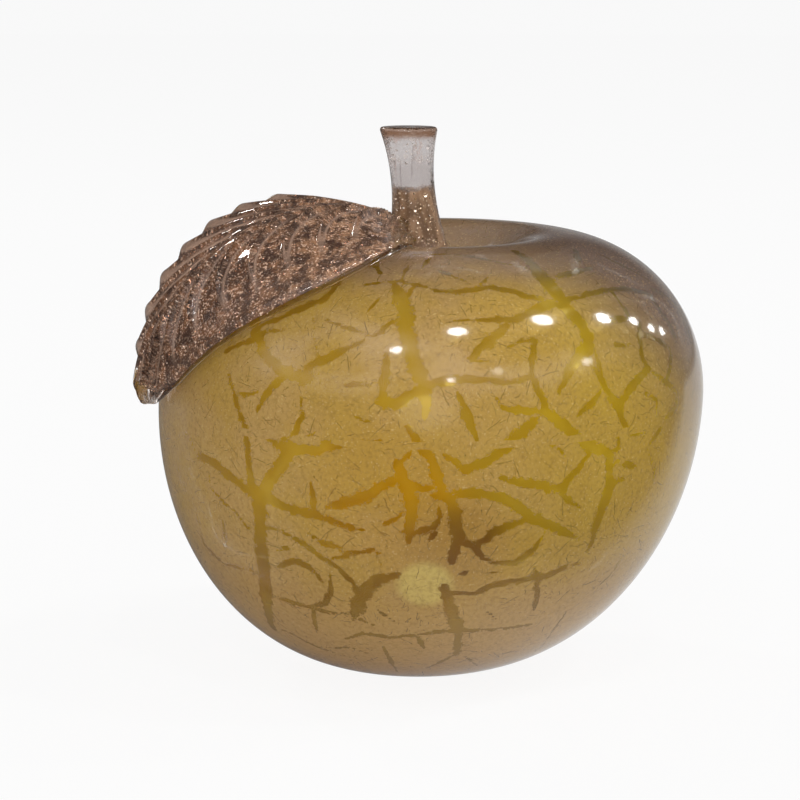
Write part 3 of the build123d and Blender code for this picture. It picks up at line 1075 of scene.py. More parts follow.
RIGHT_SHOULDER_TEARS = (
    tear(3.2, 2.9, 2.6, (563, 303), (577, 318), (587, 335), (589, 347)),
    tear(2.6, 2.2, 1.0, (589, 347), (577, 358), (567, 377), (559, 392)),
    tear(1.2, 1.1, 1.2, (566, 299), (582, 296), (602, 290), (622, 289), (638, 291), (652, 295)),
    tear(0.9, 1.5, 0.8, (608, 321), (618, 319), (629, 319)),
    tear(0.5, 0.8, 1.1, (612, 292), (621, 304), (627, 313)),
    tear(0.9, 1.3, 1.1, (639, 321), (640, 340), (642, 357), (648, 368)),
    tear(1.0, 1.1, 0.6, (643, 334), (657, 340), (671, 349)),
    tear(1.1, 1.3, 0.9, (648, 368), (660, 377), (676, 391)),
    tear(1.2, 1.8, 1.7, (648, 369), (637, 380), (627, 393), (618, 408)),
    tear(0.7, 1.5, 1.7, (590, 361), (600, 377), (610, 396), (618, 408)),
    tear(0.6, 0.8, 0.4, (594, 352), (600, 364), (602, 378)),
    tear(0.8, 1.2, 0.7, (615, 345), (631, 345)),
    tear(0.5, 1.6, 0.4, (601, 391), (591, 404), (576, 418)),
    tear(0.6, 1.1, 1.2, (650, 297), (660, 310), (670, 325), (674, 336)),
    tear(1.0, 1.2, 1.2, (652, 289), (666, 296), (680, 312), (687, 330), (691, 344)),
    tear(0.5, 1.0, 0.6, (671, 349), (670, 370), (665, 383)),
    tear(0.6, 0.9, 0.6, (645, 393), (657, 400), (656, 416)),
    tear(0.8, 1.2, 0.8, (676, 391), (677, 405), (666, 419), (657, 434), (650, 444)),
)

CENTRE_TEARS = (
    tear(1.5, 2.5, 1.6, (328, 507), (347, 503), (367, 495), (395, 481)),
    tear(1.4, 2.7, 2.7, (397, 463), (404, 482), (412, 500)),
    tear(2.7, 2.1, 0.9, (412, 500), (411, 520), (408, 544)),
    tear(1.6, 1.4, 0.9, (402, 482), (417, 487), (435, 490)),
    tear(0.7, 1.1, 1.2, (411, 452), (398, 466)),
    tear(1.0, 1.9, 1.8, (408, 426), (418, 443), (432, 459), (438, 479), (442, 494)),
    tear(1.0, 2.3, 2.6, (432, 497), (447, 496), (453, 505), (456, 522)),
    tear(2.6, 2.4, 1.4, (456, 522), (458, 538), (455, 549), (452, 562)),
    tear(1.6, 2.0, 2.2, (456, 494), (480, 493), (503, 498), (519, 507)),
    tear(0.7, 1.2, 1.6, (443, 454), (457, 463), (467, 470)),
    tear(1.6, 2.2, 2.0, (467, 470), (480, 464), (497, 455), (516, 438), (533, 422)),
    tear(1.3, 2.0, 1.2, (458, 543), (474, 545), (487, 540), (494, 532), (511, 525), (529, 519)),
    tear(1.2, 1.0, 1.0, (473, 546), (483, 558), (497, 563)),
    tear(0.5, 1.4, 1.6, (399, 533), (417, 532), (433, 528)),
    tear(1.6, 1.2, 0.5, (433, 528), (440, 517), (438, 506)),
    tear(0.5, 1.1, 0.6, (429, 541), (438, 529)),
    tear(0.4, 1.0, 0.5, (376, 529), (389, 522), (401, 516)),
    tear(0.8, 0.9, 0.4, (330, 520), (347, 525), (365, 531)),
)

LOW_CENTRE_TEARS = (
    tear(1.4, 2.8, 2.8, (354, 618), (358, 604), (366, 590)),
    tear(2.8, 2.4, 1.4, (366, 590), (378, 580), (397, 576)),
    tear(0.5, 1.1, 0.5, (336, 557), (353, 553), (373, 550), (384, 554)),
    tear(0.5, 1.1, 0.5, (328, 541), (341, 551)),
    tear(0.3, 0.7, 0.3, (376, 556), (383, 568)),
    tear(1.8, 2.5, 2.2, (444, 588), (451, 610), (458, 631)),
    tear(1.2, 1.8, 1.0, (458, 636), (456, 656)),
    tear(0.6, 1.0, 0.9, (347, 639), (363, 633), (390, 637), (417, 635)),
    tear(0.9, 1.1, 0.6, (417, 635), (437, 632), (460, 630), (487, 630), (513, 627), (532, 624)),
    tear(0.7, 1.4, 1.7, (452, 593), (476, 593), (493, 585), (513, 581), (534, 578)),
    tear(1.7, 1.3, 0.5, (534, 578), (547, 575), (567, 567), (583, 562)),
    tear(0.4, 0.9, 0.4, (457, 576), (471, 571)),
    tear(0.3, 0.8, 0.3, (484, 572), (501, 572)),
    tear(0.2, 0.6, 0.2, (484, 609), (496, 619)),
    tear(0.3, 0.7, 0.3, (376, 609), (394, 621)),
    tear(1.0, 0.9, 0.5, (354, 616), (374, 626)),
    tear(0.4, 0.9, 0.5, (383, 646), (390, 659), (397, 671)),
    tear(0.7, 0.9, 0.4, (418, 637), (424, 648)),
    tear(0.4, 0.7, 0.7, (426, 668), (446, 659), (457, 653)),
    tear(0.3, 0.7, 0.3, (466, 656), (478, 666)),
    tear(0.3, 0.7, 0.3, (496, 655), (514, 651)),
    tear(0.3, 0.7, 0.3, (328, 648), (350, 647), (371, 654)),
)

RIGHT_SIDE_TEARS = (
    tear(1.6, 2.2, 2.2, (545, 410), (557, 420), (573, 434)),
    tear(2.2, 2.6, 1.6, (573, 434), (590, 447), (609, 453)),
    tear(0.4, 0.7, 0.3, (526, 443), (549, 442), (560, 450), (566, 458)),
    tear(0.9, 2.0, 2.0, (499, 477), (517, 482), (535, 484), (553, 488)),
    tear(2.0, 1.5, 1.0, (553, 488), (565, 486), (573, 474), (588, 457)),
    tear(1.0, 1.3, 0.5, (559, 491), (579, 508)),
    tear(1.5, 2.1, 2.3, (609, 453), (610, 477), (607, 497)),
    tear(2.3, 2.0, 0.8, (607, 497), (598, 518), (593, 537), (588, 551)),
    tear(0.9, 1.1, 0.5, (609, 483), (626, 478)),
    tear(2.2, 2.2, 1.8, (519, 507), (531, 518), (547, 523)),
    tear(1.8, 1.7, 0.6, (547, 523), (560, 531), (579, 539)),
    tear(0.9, 1.6, 0.4, (497, 563), (515, 563), (531, 552), (546, 532)),
    tear(0.6, 1.4, 0.5, (535, 566), (537, 580), (537, 597), (534, 610)),
    tear(1.7, 1.3, 0.9, (618, 408), (623, 421), (628, 432), (644, 434)),
    tear(0.8, 1.5, 0.7, (617, 462), (638, 468)),
    tear(1.1, 0.9, 0.7, (609, 453), (620, 449), (618, 436)),
    tear(0.4, 0.7, 0.4, (539, 649), (553, 630), (566, 612)),
    tear(0.4, 0.8, 0.4, (648, 452), (655, 470), (652, 490)),
    tear(0.4, 0.7, 0.3, (600, 585), (613, 572), (622, 556)),
)


@dataclass
class Crackle:
    """Network of tears in the gilt film."""

    shape: AppleShape
    camera: PhotoCamera
    tears: tuple[Tear, ...]
    skin_reach: tuple[float, float] = (640.0, 860.0)
    film_reach: tuple[float, float] = (0.0, 40.0)
    edge: float = 0.35
    far: float = 9.0
    check_reach: float = 12.0
    back_seeds: int = 120
    back_whole: float = 0.3
    back_least: float = 0.3
    back_growth: float = 1.5
    back_closed: float = -0.6
    back_edge: float = 0.2
    bends: int = 14
    bend_pitch: float = 0.13
    bend_size: float = 0.75
    bend_turn: float = 6.28
    least_spread: float = 1e-6
    least_run: float = 1e-9
    pair_primes: tuple[int, int] = (7919, 104729)
    lots: int = 1000
    seen_from: float = 0.1
    front_end: float = -0.1
    front_push: float = 6.0
    back_end: float = 0.02
    back_push: float = 8.0
    turn_away: float = 0.15
    seed: int = 11

    def on_film(self, pixels: Array) -> Array:
        """Places on the film that show at pixels of the picture, through the casing."""
        origins, ways = self.camera.rays(pixels)
        skin = self.shape.march(origins, ways, 0.0, self.skin_reach)
        good = ~np.isnan(skin[:, 0])
        found = np.full_like(skin, np.nan)
        normal = self.shape.normal(skin[good])
        ratio = 1 / GLASS_IOR
        slant = -np.sum(ways[good] * normal, axis=1, keepdims=True)
        bent = ratio * ways[good] + (ratio * slant - np.sqrt(1 - ratio**2 * (1 - slant**2))) * normal
        found[good] = self.shape.march(skin[good], bent, -self.shape.casing_wall, self.film_reach)
        return found

    def front_distance(self, points: Array) -> Array:
        """How far points of the film lie from the nearest drawn tear, by its width, negative inside it."""
        nearest = np.full(len(points), self.far)
        for drawn in self.tears:
            places = self.on_film(np.array(drawn.path, dtype=float))
            places = places[~np.isnan(places[:, 0])]
            lengths = np.linalg.norm(np.diff(places, axis=0), axis=1)
            along = np.concatenate([[0.0], np.cumsum(lengths)]) / max(lengths.sum(), self.least_run)
            away = np.linalg.norm(points - places.mean(axis=0), axis=1)
            close = away < lengths.sum() / 2 + self.check_reach
            some = points[close]
            best = nearest[close]
            for number, (first, second) in enumerate(zip(places, places[1:])):
                run = second - first
                share = np.clip((some - first) @ run / max(run @ run, self.least_run), 0, 1)
                gap = np.linalg.norm(some - first - share[:, None] * run, axis=1)
                half = drawn.half_widths(along[number] + share * (along[number + 1] - along[number]))
                best = np.minimum(best, (gap - half) / (half + self.edge))
            nearest[close] = best
        return nearest

    def back_distance(self, points: Array, hidden: Array) -> Array:
        """How far points lie from a random net of tears, by their width, negative inside it.

        Args:
            points: places on the film.
            hidden: true for places that the camera doesn't see.

        Returns:
            One number for each point.
        """
        dice = np.random.default_rng(self.seed)
        seeds = dice.permutation(points[hidden])[:self.back_seeds]
        bend = np.zeros_like(points)
        for _ in range(self.bends):
            wave = dice.normal(size=3) * self.bend_pitch
            swing = np.sin(points @ wave + dice.uniform(0, self.bend_turn))
            bend += swing[:, None] * dice.normal(size=3) * self.bend_size
        warped = points + bend
        gaps = np.linalg.norm(warped[:, None, :] - seeds[None, :, :], axis=2)
        order = np.argpartition(gaps, 1, axis=1)[:, :2]
        rows = np.arange(len(points))
        first, second = gaps[rows, order[:, 0]], gaps[rows, order[:, 1]]
        spread = np.linalg.norm(seeds[order[:, 0]] - seeds[order[:, 1]], axis=1)
        edge = np.abs(second**2 - first**2) / (2 * np.maximum(spread, self.least_spread))
        pair = np.stack([order.min(axis=1), order.max(axis=1)], 1) @ np.array(self.pair_primes)
        lot = pair % self.lots / self.lots
        torn = self.back_least + self.back_growth * (lot - self.back_whole)
        half = np.where(lot < self.back_whole, self.back_closed, torn)
        return (edge - half) / (np.maximum(half, self.back_edge) + self.edge)

    def tear_distance(self, points: Array) -> Array:
        """Tear distance over the whole film: drawn tears in front, random ones elsewhere."""
        view = np.array(self.camera.place) - points
        view = view / np.linalg.norm(view, axis=1, keepdims=True)
        facing = np.sum(self.shape.normal(points) * view, axis=1)
        drawn = self.front_distance(points)
        drawn = drawn + self.front_push * (1 - ease((facing - self.front_end) / self.turn_away))
        hidden = self.back_distance(points, facing < self.seen_from)
        hidden = hidden + self.back_push * ease((facing - self.back_end) / self.turn_away)
        return np.minimum(drawn, hidden)


@dataclass
class AppleBody:
    """Blown body in three layers: clear casing, gilt film and amber bubble."""

    shape: AppleShape
    crackle: Crackle
    turns: int = 400
    front_crowding: float = 0.5
    skin_spacing: float = 1.5
    film_spacing: float = 0.88
    plain_spacing: float = 6.0
    joint_gap: float = 0.04
    solid_base: float = 40.0
    casing_roughness: float = 0.1
    tear_range: tuple[float, float] = (-4.0, 9.0)

    def shell(self, name: str, outer: Array, inner: Array, finishes: list) -> bpy.types.Object:
        """Spins two half outlines into one closed shell.

        Args:
            name: name of the object.
            outer: half outline of the outer wall.
            inner: half outline of the inner wall.
            finishes: finish of the outer wall and of the inner wall.

        Returns:
            The shell, leaning as the body does.
        """
        even = np.linspace(-math.pi, math.pi, self.turns, endpoint=False)
        angle = even - self.front_crowding * np.sin(even) - math.pi / 2
        points = []
        faces = []
        picks = []
        ends = []
        for wall, rows in enumerate((outer, inner)):
            centre = sum(len(part) for part in points)
            radii, heights = rows[1:, 0, None], rows[1:, 1, None]
            rings = np.broadcast_arrays(radii * np.cos(angle), radii * np.sin(angle), heights)
            points += [np.array([[0.0, 0.0, rows[0, 1]]]), np.stack(rings, -1).reshape(-1, 3)]
            fan = fan_faces(self.turns, centre + 1, centre)
            quads = ring_faces(self.turns, len(radii), centre + 1)
            way = -1 if wall else 1
            faces += fan[:, ::way].tolist() + quads[:, ::way].tolist()
            picks.append(np.full(len(fan) + len(quads), wall))
            ends.append(centre + 1 + (len(radii) - 1) * self.turns + np.arange(self.turns))
        first, second = ends
        rim = np.stack([first, np.roll(first, -1), np.roll(second, -1), second], 1)
        faces += rim.tolist()
        picks.append(np.ones(len(rim), dtype=int))
        places = np.concatenate(points)
        places[:, 0] += self.shape.slope * places[:, 2]
        return make_object(name, places, faces, finishes, np.concatenate(picks))

    def build(self) -> None:
        """Makes and dresses the three layers."""
        joint = FusedJoint().build()
        film_at = self.shape.casing_wall
        bubble_at = film_at + self.shape.film_wall
        cavity_at = bubble_at + self.shape.bubble_wall
        plain = self.plain_spacing
        casing = self.shell(
            "clear_casing_glass",
            self.shape.profile(0.0, 0.0, self.skin_spacing),
            self.shape.profile(film_at, 0.0, plain),
            [ClearGlass("casing_glass", roughness=self.casing_roughness).build(), joint],
        )
        hand_over(casing, Slot.CLEAR, "clear_casing")
        film = self.shell(
            "gilt_film_leaf",
            self.shape.profile(film_at + self.joint_gap, 0.0, self.film_spacing),
            self.shape.profile(bubble_at - self.joint_gap, 0.0, plain),
            [GiltLeaf().build(), joint],
        )
        places = np.empty(len(film.data.vertices) * 3)
        film.data.vertices.foreach_get("co", places)
        tear_at = self.crackle.tear_distance(places.reshape(-1, 3) / MM)
        store_numbers(film, "tear", np.clip(tear_at, *self.tear_range))
        hand_over(film, Slot.GILT, "gilt_film")
        bubble = self.shell(
            "amber_bubble_glass",
            self.shape.profile(bubble_at, 0.0, plain),
            self.shape.profile(cavity_at, self.shape.bubble_floor_extra, plain),
            [joint, AmberGlass().build(), AmberBase().build()],
        )
        outside, base = 0, 2
        for face in bubble.data.polygons:
            if face.material_index == outside and face.center.z < self.solid_base * MM:
                face.material_index = base
        hand_over(bubble, Slot.AMBER, "amber_bubble")


@dataclass(frozen=True)
class FleckCloud:
    """Small flat flecks of metal strewn close to the surface of a core, but not over its ribs."""

    name: str
    density: float
    size: float
    inner: float
    outer: float
    lowest: float
    highest: float
    seed: int
    flake: tuple = (1.0, 0.7, 0.12)
    least: float = 0.35
    tilt: float = 0.9
    turn: float = 6.28
    rib_foot: float = 0.1

    def tree(self) -> bpy.types.NodeTree:
        """Makes a geometry tree with inputs for density, size, depths, heights, seed and metal."""
        tree = bpy.data.node_groups.new(self.name + "_tree", "GeometryNodeTree")
        numbers = ("Density", "Size", "Inner Depth", "Outer Depth", "Lowest", "Highest")
        inputs = {"Geometry": "Geometry", **dict.fromkeys(numbers, "Float")}
        inputs |= {"Seed": "Int", "Metal": "Material"}
        for label, kind in inputs.items():
            tree.interface.new_socket(label, in_out="INPUT", socket_type="NodeSocket" + kind)
        tree.interface.new_socket("Geometry", in_out="OUTPUT", socket_type="NodeSocketGeometry")
        graph = NodeGraph(tree)
        given = graph.node("NodeGroupInput").outputs
        height = graph.axes(graph.node("GeometryNodeInputPosition").outputs[0])["Z"]
        rib = graph.node("GeometryNodeInputNamedAttribute", {"Name": "rib"}).outputs["Attribute"]
        bare = graph.product(
            graph.math("LESS_THAN", height, given["Highest"]),
            graph.math("GREATER_THAN", height, given["Lowest"]),
            graph.math("LESS_THAN", rib, self.rib_foot),
        )
        spread = graph.node("GeometryNodeDistributePointsOnFaces", {
            "Mesh": given["Geometry"],
            "Selection": bare,
            "Density": given["Density"],
            "Seed": given["Seed"],
        }).outputs
        depth = graph.node("FunctionNodeRandomValue", {"Seed": given["Seed"]}, data_type="FLOAT")
        depth = graph.feed_kind(depth, "VALUE", given["Inner Depth"], given["Outer Depth"])
        push = {0: spread["Normal"], "Scale": depth}
        push = graph.node("ShaderNodeVectorMath", push, operation="SCALE").outputs[0]
        shifted = graph.node("GeometryNodeSetPosition", {"Geometry": spread["Points"], "Offset": push})
        turn = graph.node("FunctionNodeRandomValue", data_type="FLOAT_VECTOR")
        least, most = (-self.tilt, -self.tilt, 0.0), (self.tilt, self.tilt, self.turn)
        turn = graph.feed_kind(turn, "VECTOR", least, most)
        lie = {0: spread["Rotation"], 1: turn}
        lie = graph.node("FunctionNodeRotateRotation", lie, rotation_space="LOCAL").outputs[0]
        grow = graph.node("FunctionNodeRandomValue", data_type="FLOAT")
        grow = graph.feed_kind(grow, "VALUE", self.least, 1.0)
        placed = graph.node("GeometryNodeInstanceOnPoints", {
            "Points": shifted.outputs["Geometry"],
            "Instance": graph.node("GeometryNodeMeshCube", {"Size": self.flake}).outputs["Mesh"],
            "Rotation": lie,
            "Scale": graph.product(grow, given["Size"]),
        })
        real = graph.node("GeometryNodeRealizeInstances", {"Geometry": placed.outputs["Instances"]})
        dressed = {"Geometry": real.outputs["Geometry"], "Material": given["Metal"]}
        dressed = graph.node("GeometryNodeSetMaterial", dressed).outputs["Geometry"]
        graph.node("NodeGroupOutput", {"Geometry": dressed})
        return tree

    def build(self, core: bpy.types.Object, metal: FleckMetal, slot: Slot) -> None:
        """Strews the flecks and turns them into a plain mesh.

        Args:
            core: object whose surface they lie near.
            metal: finish of the flecks.
            slot: finish slot in the record.
        """
        carrier = linked(self.name + "_carrier", core.data)
        modifier = carrier.modifiers.new("flecks", "NODES")
        modifier.node_group = self.tree()
        given = {
            "Density": self.density / MM**2,
            "Size": self.size * MM,
            "Inner Depth": self.inner * MM,
            "Outer Depth": self.outer * MM,
            "Lowest": self.lowest * MM,
            "Highest": self.highest * MM,
            "Seed": self.seed,
            "Metal": metal.build(),
        }
        for item in modifier.node_group.interface.items_tree:
            if item.in_out == "INPUT" and item.name in given:
                modifier[item.identifier] = given[item.name]
        bpy.context.view_layer.update()
        ready = carrier.evaluated_get(bpy.context.evaluated_depsgraph_get())
        mesh = bpy.data.meshes.new_from_object(ready)
        carrier.modifiers.remove(modifier)
        bpy.data.objects.remove(carrier)
        hand_over(linked(self.name, mesh), slot)


@dataclass
class Stem:
    """Flared glass stem with a gold flecked core."""

    shape: AppleShape
    length: float = 34.6
    heights: tuple = (-2.0, 10.0, 22.4, 34.6)
    widths: tuple = (20.0, 12.6, 10.2, 14.0)
    depths: tuple = (20.0, 11.8, 9.4, 9.0)
    offset: float = -4.0
    lean_degrees: float = 4.5
    top_round: float = 1.0
    skin: float = 1.7
    core_start: float = 4.5
    core_end_gap: float = 5.0
    turns: int = 96
    side_rings: int = 59
    top_rings: int = 9
    seat_gap: float = 0.12
    highest_seat: float = 8.0
    seat_rounds: int = 20
    fleck_metal: FleckMetal = FleckMetal("stem_fleck_metal", (0.90, 0.70, 0.45, 1.0), (0.98, 0.92, 0.82, 1.0))
    flecks: FleckCloud = FleckCloud(
        "stem_flecks", density=1.5, size=0.5, inner=-1.0, outer=0.9, lowest=90.0, highest=114.0, seed=5
    )
    speck_white: FleckMetal = FleckMetal(
        "stem_speck_metal", (0.95, 0.92, 0.90, 1.0), (0.98, 0.97, 0.96, 1.0), metallic=0.0
    )
    specks: FleckCloud = FleckCloud(
        "stem_specks", density=0.4, size=0.85, inner=-1.2, outer=-0.5, lowest=120.5, highest=125.8, seed=8
    )

    def smooth(self, at: Array, sizes: tuple) -> Array:
        """Sizes along the stem on one smooth curve through the given ones."""
        curve = np.polyfit(self.heights, sizes, len(sizes) - 1)
        return np.polyval(curve, at)

    def surface(self, at: Array, angle: Array, inward: Array | float) -> Array:
        """Places on the stem's side.

        Args:
            at: heights over the dimple floor.
            angle: angles round the stem in radians.
            inward: depth under the side.

        Returns:
            The places in millimetres.
        """
        axis = self.shape.slope * self.shape.floor_height + self.offset
        axis = axis - at * math.tan(math.radians(self.lean_degrees))
        return np.stack([
            axis + (self.smooth(at, self.widths) / 2 - inward) * np.cos(angle),
            (self.smooth(at, self.depths) / 2 - inward) * np.sin(angle),
            self.shape.floor_height + at,
        ], -1)

    def foot_heights(self, angle: Array) -> Array:
        """Heights over the dimple floor where the stem's side meets the apple."""

        def free(at: Array) -> Array:
            """Tells whether the side lies clear of the apple at the given heights."""
            return self.shape.level(self.surface(at, angle, 0.0), self.seat_gap) >= 1

        low = np.full(len(angle), self.heights[0])
        return narrowed(free, low, np.full(len(angle), self.highest_seat), self.seat_rounds)

    def tube(
        self, name: str, foot: Array, end: float, skin: float, finish: bpy.types.Material
    ) -> bpy.types.Object:
        """Makes one closed tube of oval sections.

        Args:
            name: name of the object.
            foot: heights of its lower end over the dimple floor, all round.
            end: height of its upper end over the dimple floor.
            skin: depth under the outside of the stem.
            finish: material of the tube.

        Returns:
            The tube.
        """
        rounding = self.top_round
        bend = np.linspace(0, math.pi / 2, self.top_rings)
        climb = np.linspace(0, 1, self.side_rings + 1)[:-1, None]
        side = foot + (end - rounding - foot) * climb
        top = np.repeat(end - rounding + rounding * np.sin(bend)[:, None], self.turns, axis=1)
        at = np.concatenate([side, top])
        inward = skin + np.concatenate([np.zeros(self.side_rings), rounding * (1 - np.cos(bend))])[:, None]
        rings = self.surface(at, self.angles, inward)
        points = [rings.reshape(-1, 3), rings[0].mean(axis=0)[None], rings[-1].mean(axis=0)[None]]
        count = len(at) * self.turns
        faces = ring_faces(self.turns, len(at)).tolist()
        faces += fan_faces(self.turns, 0, count).tolist()
        faces += fan_faces(self.turns, count - self.turns, count + 1)[:, [0, 2, 1]].tolist()
        return make_object(name, np.concatenate(points), faces, [finish])

    @property
    def angles(self) -> Array:
        """Angles round the stem in radians."""
        return np.linspace(0, 2 * math.pi, self.turns, endpoint=False)

    def build(self) -> None:
        """Makes and dresses the stem."""
        foot = self.foot_heights(self.angles)
        jacket = self.tube("stem_jacket_glass", foot, self.length, 0.0, StemGlass().build())
        hand_over(jacket, Slot.CLEAR, "stem_jacket")
        foot = np.full(self.turns, self.core_start)
        core_end = self.length - self.core_end_gap
        core = self.tube("stem_core_glass", foot, core_end, self.skin, GoldDust().build())
        hand_over(core, Slot.GOLD_FLECK, "stem_core")
        self.flecks.build(core, self.fleck_metal, Slot.GOLD_FLECK)
        self.specks.build(jacket, self.speck_white, Slot.GOLD_FLECK)


@dataclass
class Leaf:
    """Ribbed glass leaf laid over the apple's shoulder."""

    shape: AppleShape
    length: float = 95.0
    root_bearing: float = 206.0
    tip_bearing: float = 193.0
    tip_angle: float = 0.5
    lip_radius: float = 30.0
    lip_turn: float = 36.0
    root_width: float = 16.0
    tip_width: float = 7.2
    bulge: float = 24.0
    bulge_skew: float = 0.8
    bulge_power: float = 0.75
    rise: float = 8.0
    tip_rise: float = 5.5
    tip_rise_from: float = 0.45
    tip_round: float = 0.06
    tip_cut: float = 0.97
    near_edge: float = 2.0
    near_settle: float = 0.45
    far_lift: float = 2.6
    far_drop: float = 3.5
    far_drop_end: float = 0.45
    far_edge: float = 3.6
    far_free: float = 0.3
    seat: float = 1.5
    tip_gap: float = 1.5
    tip_free: float = 0.8
    ribs: int = 10
    rib_relief: float = 1.1
    rib_sweep: float = 0.26
    rib_curve: float = 2.2
    rib_sharpness: float = 6.0
    rib_sharpening: float = 2.0
    rib_start: float = 0.2
    rib_end: float = 0.45
    rib_fade: float = 0.35
    far_relief: float = 0.65
    far_crest: float = 2.2
    margin: float = 2.2
    brim: float = 0.07
    brim_cut: float = 0.98
    least_thickness: float = 0.3
    skin: float = 1.8
    core_side: float = 1.0
    core_share: float = 0.32
    core_relief: float = 0.4
    core_gap: float = 0.3
    core_ends: tuple[float, float] = (0.05, 0.95)
    comb_waves: float = 150.0
    comb_start: float = 0.5
    comb_rise: float = 0.2
    comb_end: float = 1.02
    comb_fall: float = 0.1
    scroll_middle: float = 0.06
    scroll_end: float = 0.16
    scroll_reach: float = 8.0
    scroll_edge: tuple[float, float] = (0.8, 1.2)
    scroll_pitch: float = 3.0
    scroll_height: float = 0.8
    seat_gap: float = 0.12
    top_gap: float = 0.1
    fused_gap: float = 0.25
    ground_reach: tuple[float, float] = (-40.0, 12.0)
    ground_rounds: int = 20
    seat_reach: float = 16.0
    seat_rounds: int = 18
    stations: int = 240
    columns: int = 121
    fleck_metal: FleckMetal = FleckMetal("leaf_fleck_metal", (0.78, 0.47, 0.32, 1.0), (0.98, 0.86, 0.76, 1.0))
    flecks: FleckCloud = FleckCloud(
        "leaf_flecks", density=1.9, size=0.38, inner=-0.1, outer=0.6, lowest=0.0, highest=140.0, seed=3
    )

    def stations_frame(self, u: Array) -> dict:
        """Places and directions along the midrib.

        Args:
            u: fractions of the leaf's length from its root.

        Returns:
            The midrib's places, its sideways and outward directions, its rise and how fast the apple
            falls away under it.
        """
        shoulder_wide = self.shape.body_diameter / 2 - self.shape.crest_radius
        shoulder_high = self.shape.crest_height - self.shape.belly_height
        lip = math.radians(self.lip_turn) * self.lip_radius
        shoulder = math.radians(90 - self.tip_angle) * (shoulder_wide + shoulder_high + 2 * self.rise) / 2
        share = lip / (lip + shoulder)
        late = ease((u - self.tip_rise_from) / (1 - self.tip_rise_from))
        rise = self.rise + (self.tip_rise - self.rise) * late
        on_lip = u < share
        lip_angle = 90 + self.lip_turn * (1 - u / share)
        shoulder_angle = 90 - (90 - self.tip_angle) * (u - share) / (1 - share)
        angle = np.radians(np.where(on_lip, lip_angle, shoulder_angle))
        wide = np.where(on_lip, self.lip_radius, shoulder_wide + rise)
        high = np.where(on_lip, self.lip_radius, shoulder_high + rise)
        base = np.where(on_lip, self.shape.crest_height + rise - self.lip_radius, self.shape.belly_height)
        radius = self.shape.crest_radius + wide * np.cos(angle)
        height = base + high * np.sin(angle)
        forward, downward = wide * np.sin(angle), high * np.cos(angle)
        length = np.hypot(forward, downward)
        forward, downward = forward / length, downward / length
        bearing = np.radians(self.root_bearing + (self.tip_bearing - self.root_bearing) * u)
        out_x, out_y = np.cos(bearing), np.sin(bearing)
        return {
            "place": np.stack([radius * out_x + self.shape.slope * height, radius * out_y, height], 1),
            "side": np.stack([-out_y, out_x, np.zeros_like(u)], 1),
            "out": np.stack([out_x * downward, out_y * downward, forward], 1),
            "rise": rise,
            "fall": np.maximum(downward, 0) / (2 * radius),
        }

    def half_width(self, u: Array) -> Array:
        """Half of the leaf's width along its length."""
        taper = self.root_width + (self.tip_width - self.root_width) * u
        return taper / 2 + self.bulge * np.sin(math.pi * u**self.bulge_skew) ** self.bulge_power

    def sheet(self, name: str, inner: bool, finishes: list) -> bpy.types.Object:
        """Makes one closed leaf body.

        Args:
            name: name of the object.
            inner: true for the flecked core, which lies inside the clear jacket.
            finishes: finish of the body and, for the jacket, of its seat.

        Returns:
            The leaf body, seated on the apple.
        """
        start, end = self.core_ends if inner else (0.0, 1.0)
        u = start + (end - start) * np.linspace(0, 1, self.stations)
        v = np.sin(np.linspace(math.pi / 2, -math.pi / 2, self.columns))
        frame_at = self.stations_frame(u)
        to_tip = np.clip((u / end - (1 - self.tip_round)) / self.tip_round, 0, 1)
        cap = np.sqrt(1 - self.tip_cut * to_tip**2)
        full = self.half_width(u)
        half = (full - (self.core_side if inner else 0.0)) * cap
        rise = frame_at["rise"][:, None]
        across = np.abs(v)[None, :]
        near = (v > 0)[None, :]
        ground = -rise - frame_at["fall"][:, None] * (v[None, :] * full[:, None]) ** 2
        drop = self.far_drop * (1 - ease(u / self.far_drop_end))
        lift = (self.far_lift * np.sin(math.pi * u) - drop)[:, None]
        top = ground + rise + np.where(near, -(rise - self.near_edge) * across**2, lift * across)
        flat = (v[None, :] * half[:, None])[..., None] * frame_at["side"][:, None, :]
        spine = frame_at["place"][:, None, :] + flat
        out = frame_at["out"][:, None, :]
        touch = self.ground_under(spine, out)
        settle = np.where(near, ease((across - self.near_settle) / (1 - self.near_settle)), 0.0)
        top = top * (1 - settle) + (touch + self.margin) * settle
        free = np.where(near, 0.0, ease((across - self.far_free) / (1 - self.far_free)))
        tip_lift = (self.seat + self.tip_gap) * ease((u - self.tip_free) / (1 - self.tip_free))
        seat = (self.seat - tip_lift)[:, None]
        under = (ground - seat) * (1 - free) + (top - self.far_edge) * free
        under = np.maximum(under, touch + self.seat_gap)
        rib, swept = self.ribs_at(u, across, near)
        ridge, scroll = self.scroll_at(u, v, half)
        relief = self.rib_relief * (self.core_relief if inner else 1.0) * np.where(near, 1.0, self.far_relief)
        top = top + relief * rib + self.scroll_height * ridge
        thick = np.maximum(top - under, self.least_thickness)
        inset = np.minimum(self.skin, self.core_share * thick) if inner else 0.0
        middle = under + thick / 2
        thick = (thick / 2 - inset) * cap[:, None]
        to_edge = np.clip((across - (1 - self.brim)) / self.brim, 0, 1)
        brim = np.sqrt(1 - self.brim_cut * to_edge**2)
        rim = np.where(near, middle - thick, middle)
        upper = spine + (rim + (middle + thick - rim) * brim)[..., None] * out
        lower = spine + (rim + (middle - thick - rim) * brim)[..., None] * out
        gap = self.seat_gap + (self.core_gap if inner else 0.0)
        lower = self.seated(lower, out, gap)
        upper = self.seated(upper, out, gap + self.top_gap)
        made = self.closed(name, upper, lower, finishes)
        comb = np.where(near, ease((across - self.comb_start) / self.comb_rise), 0.0)
        comb = comb * ease((self.comb_end - across) / self.comb_fall)
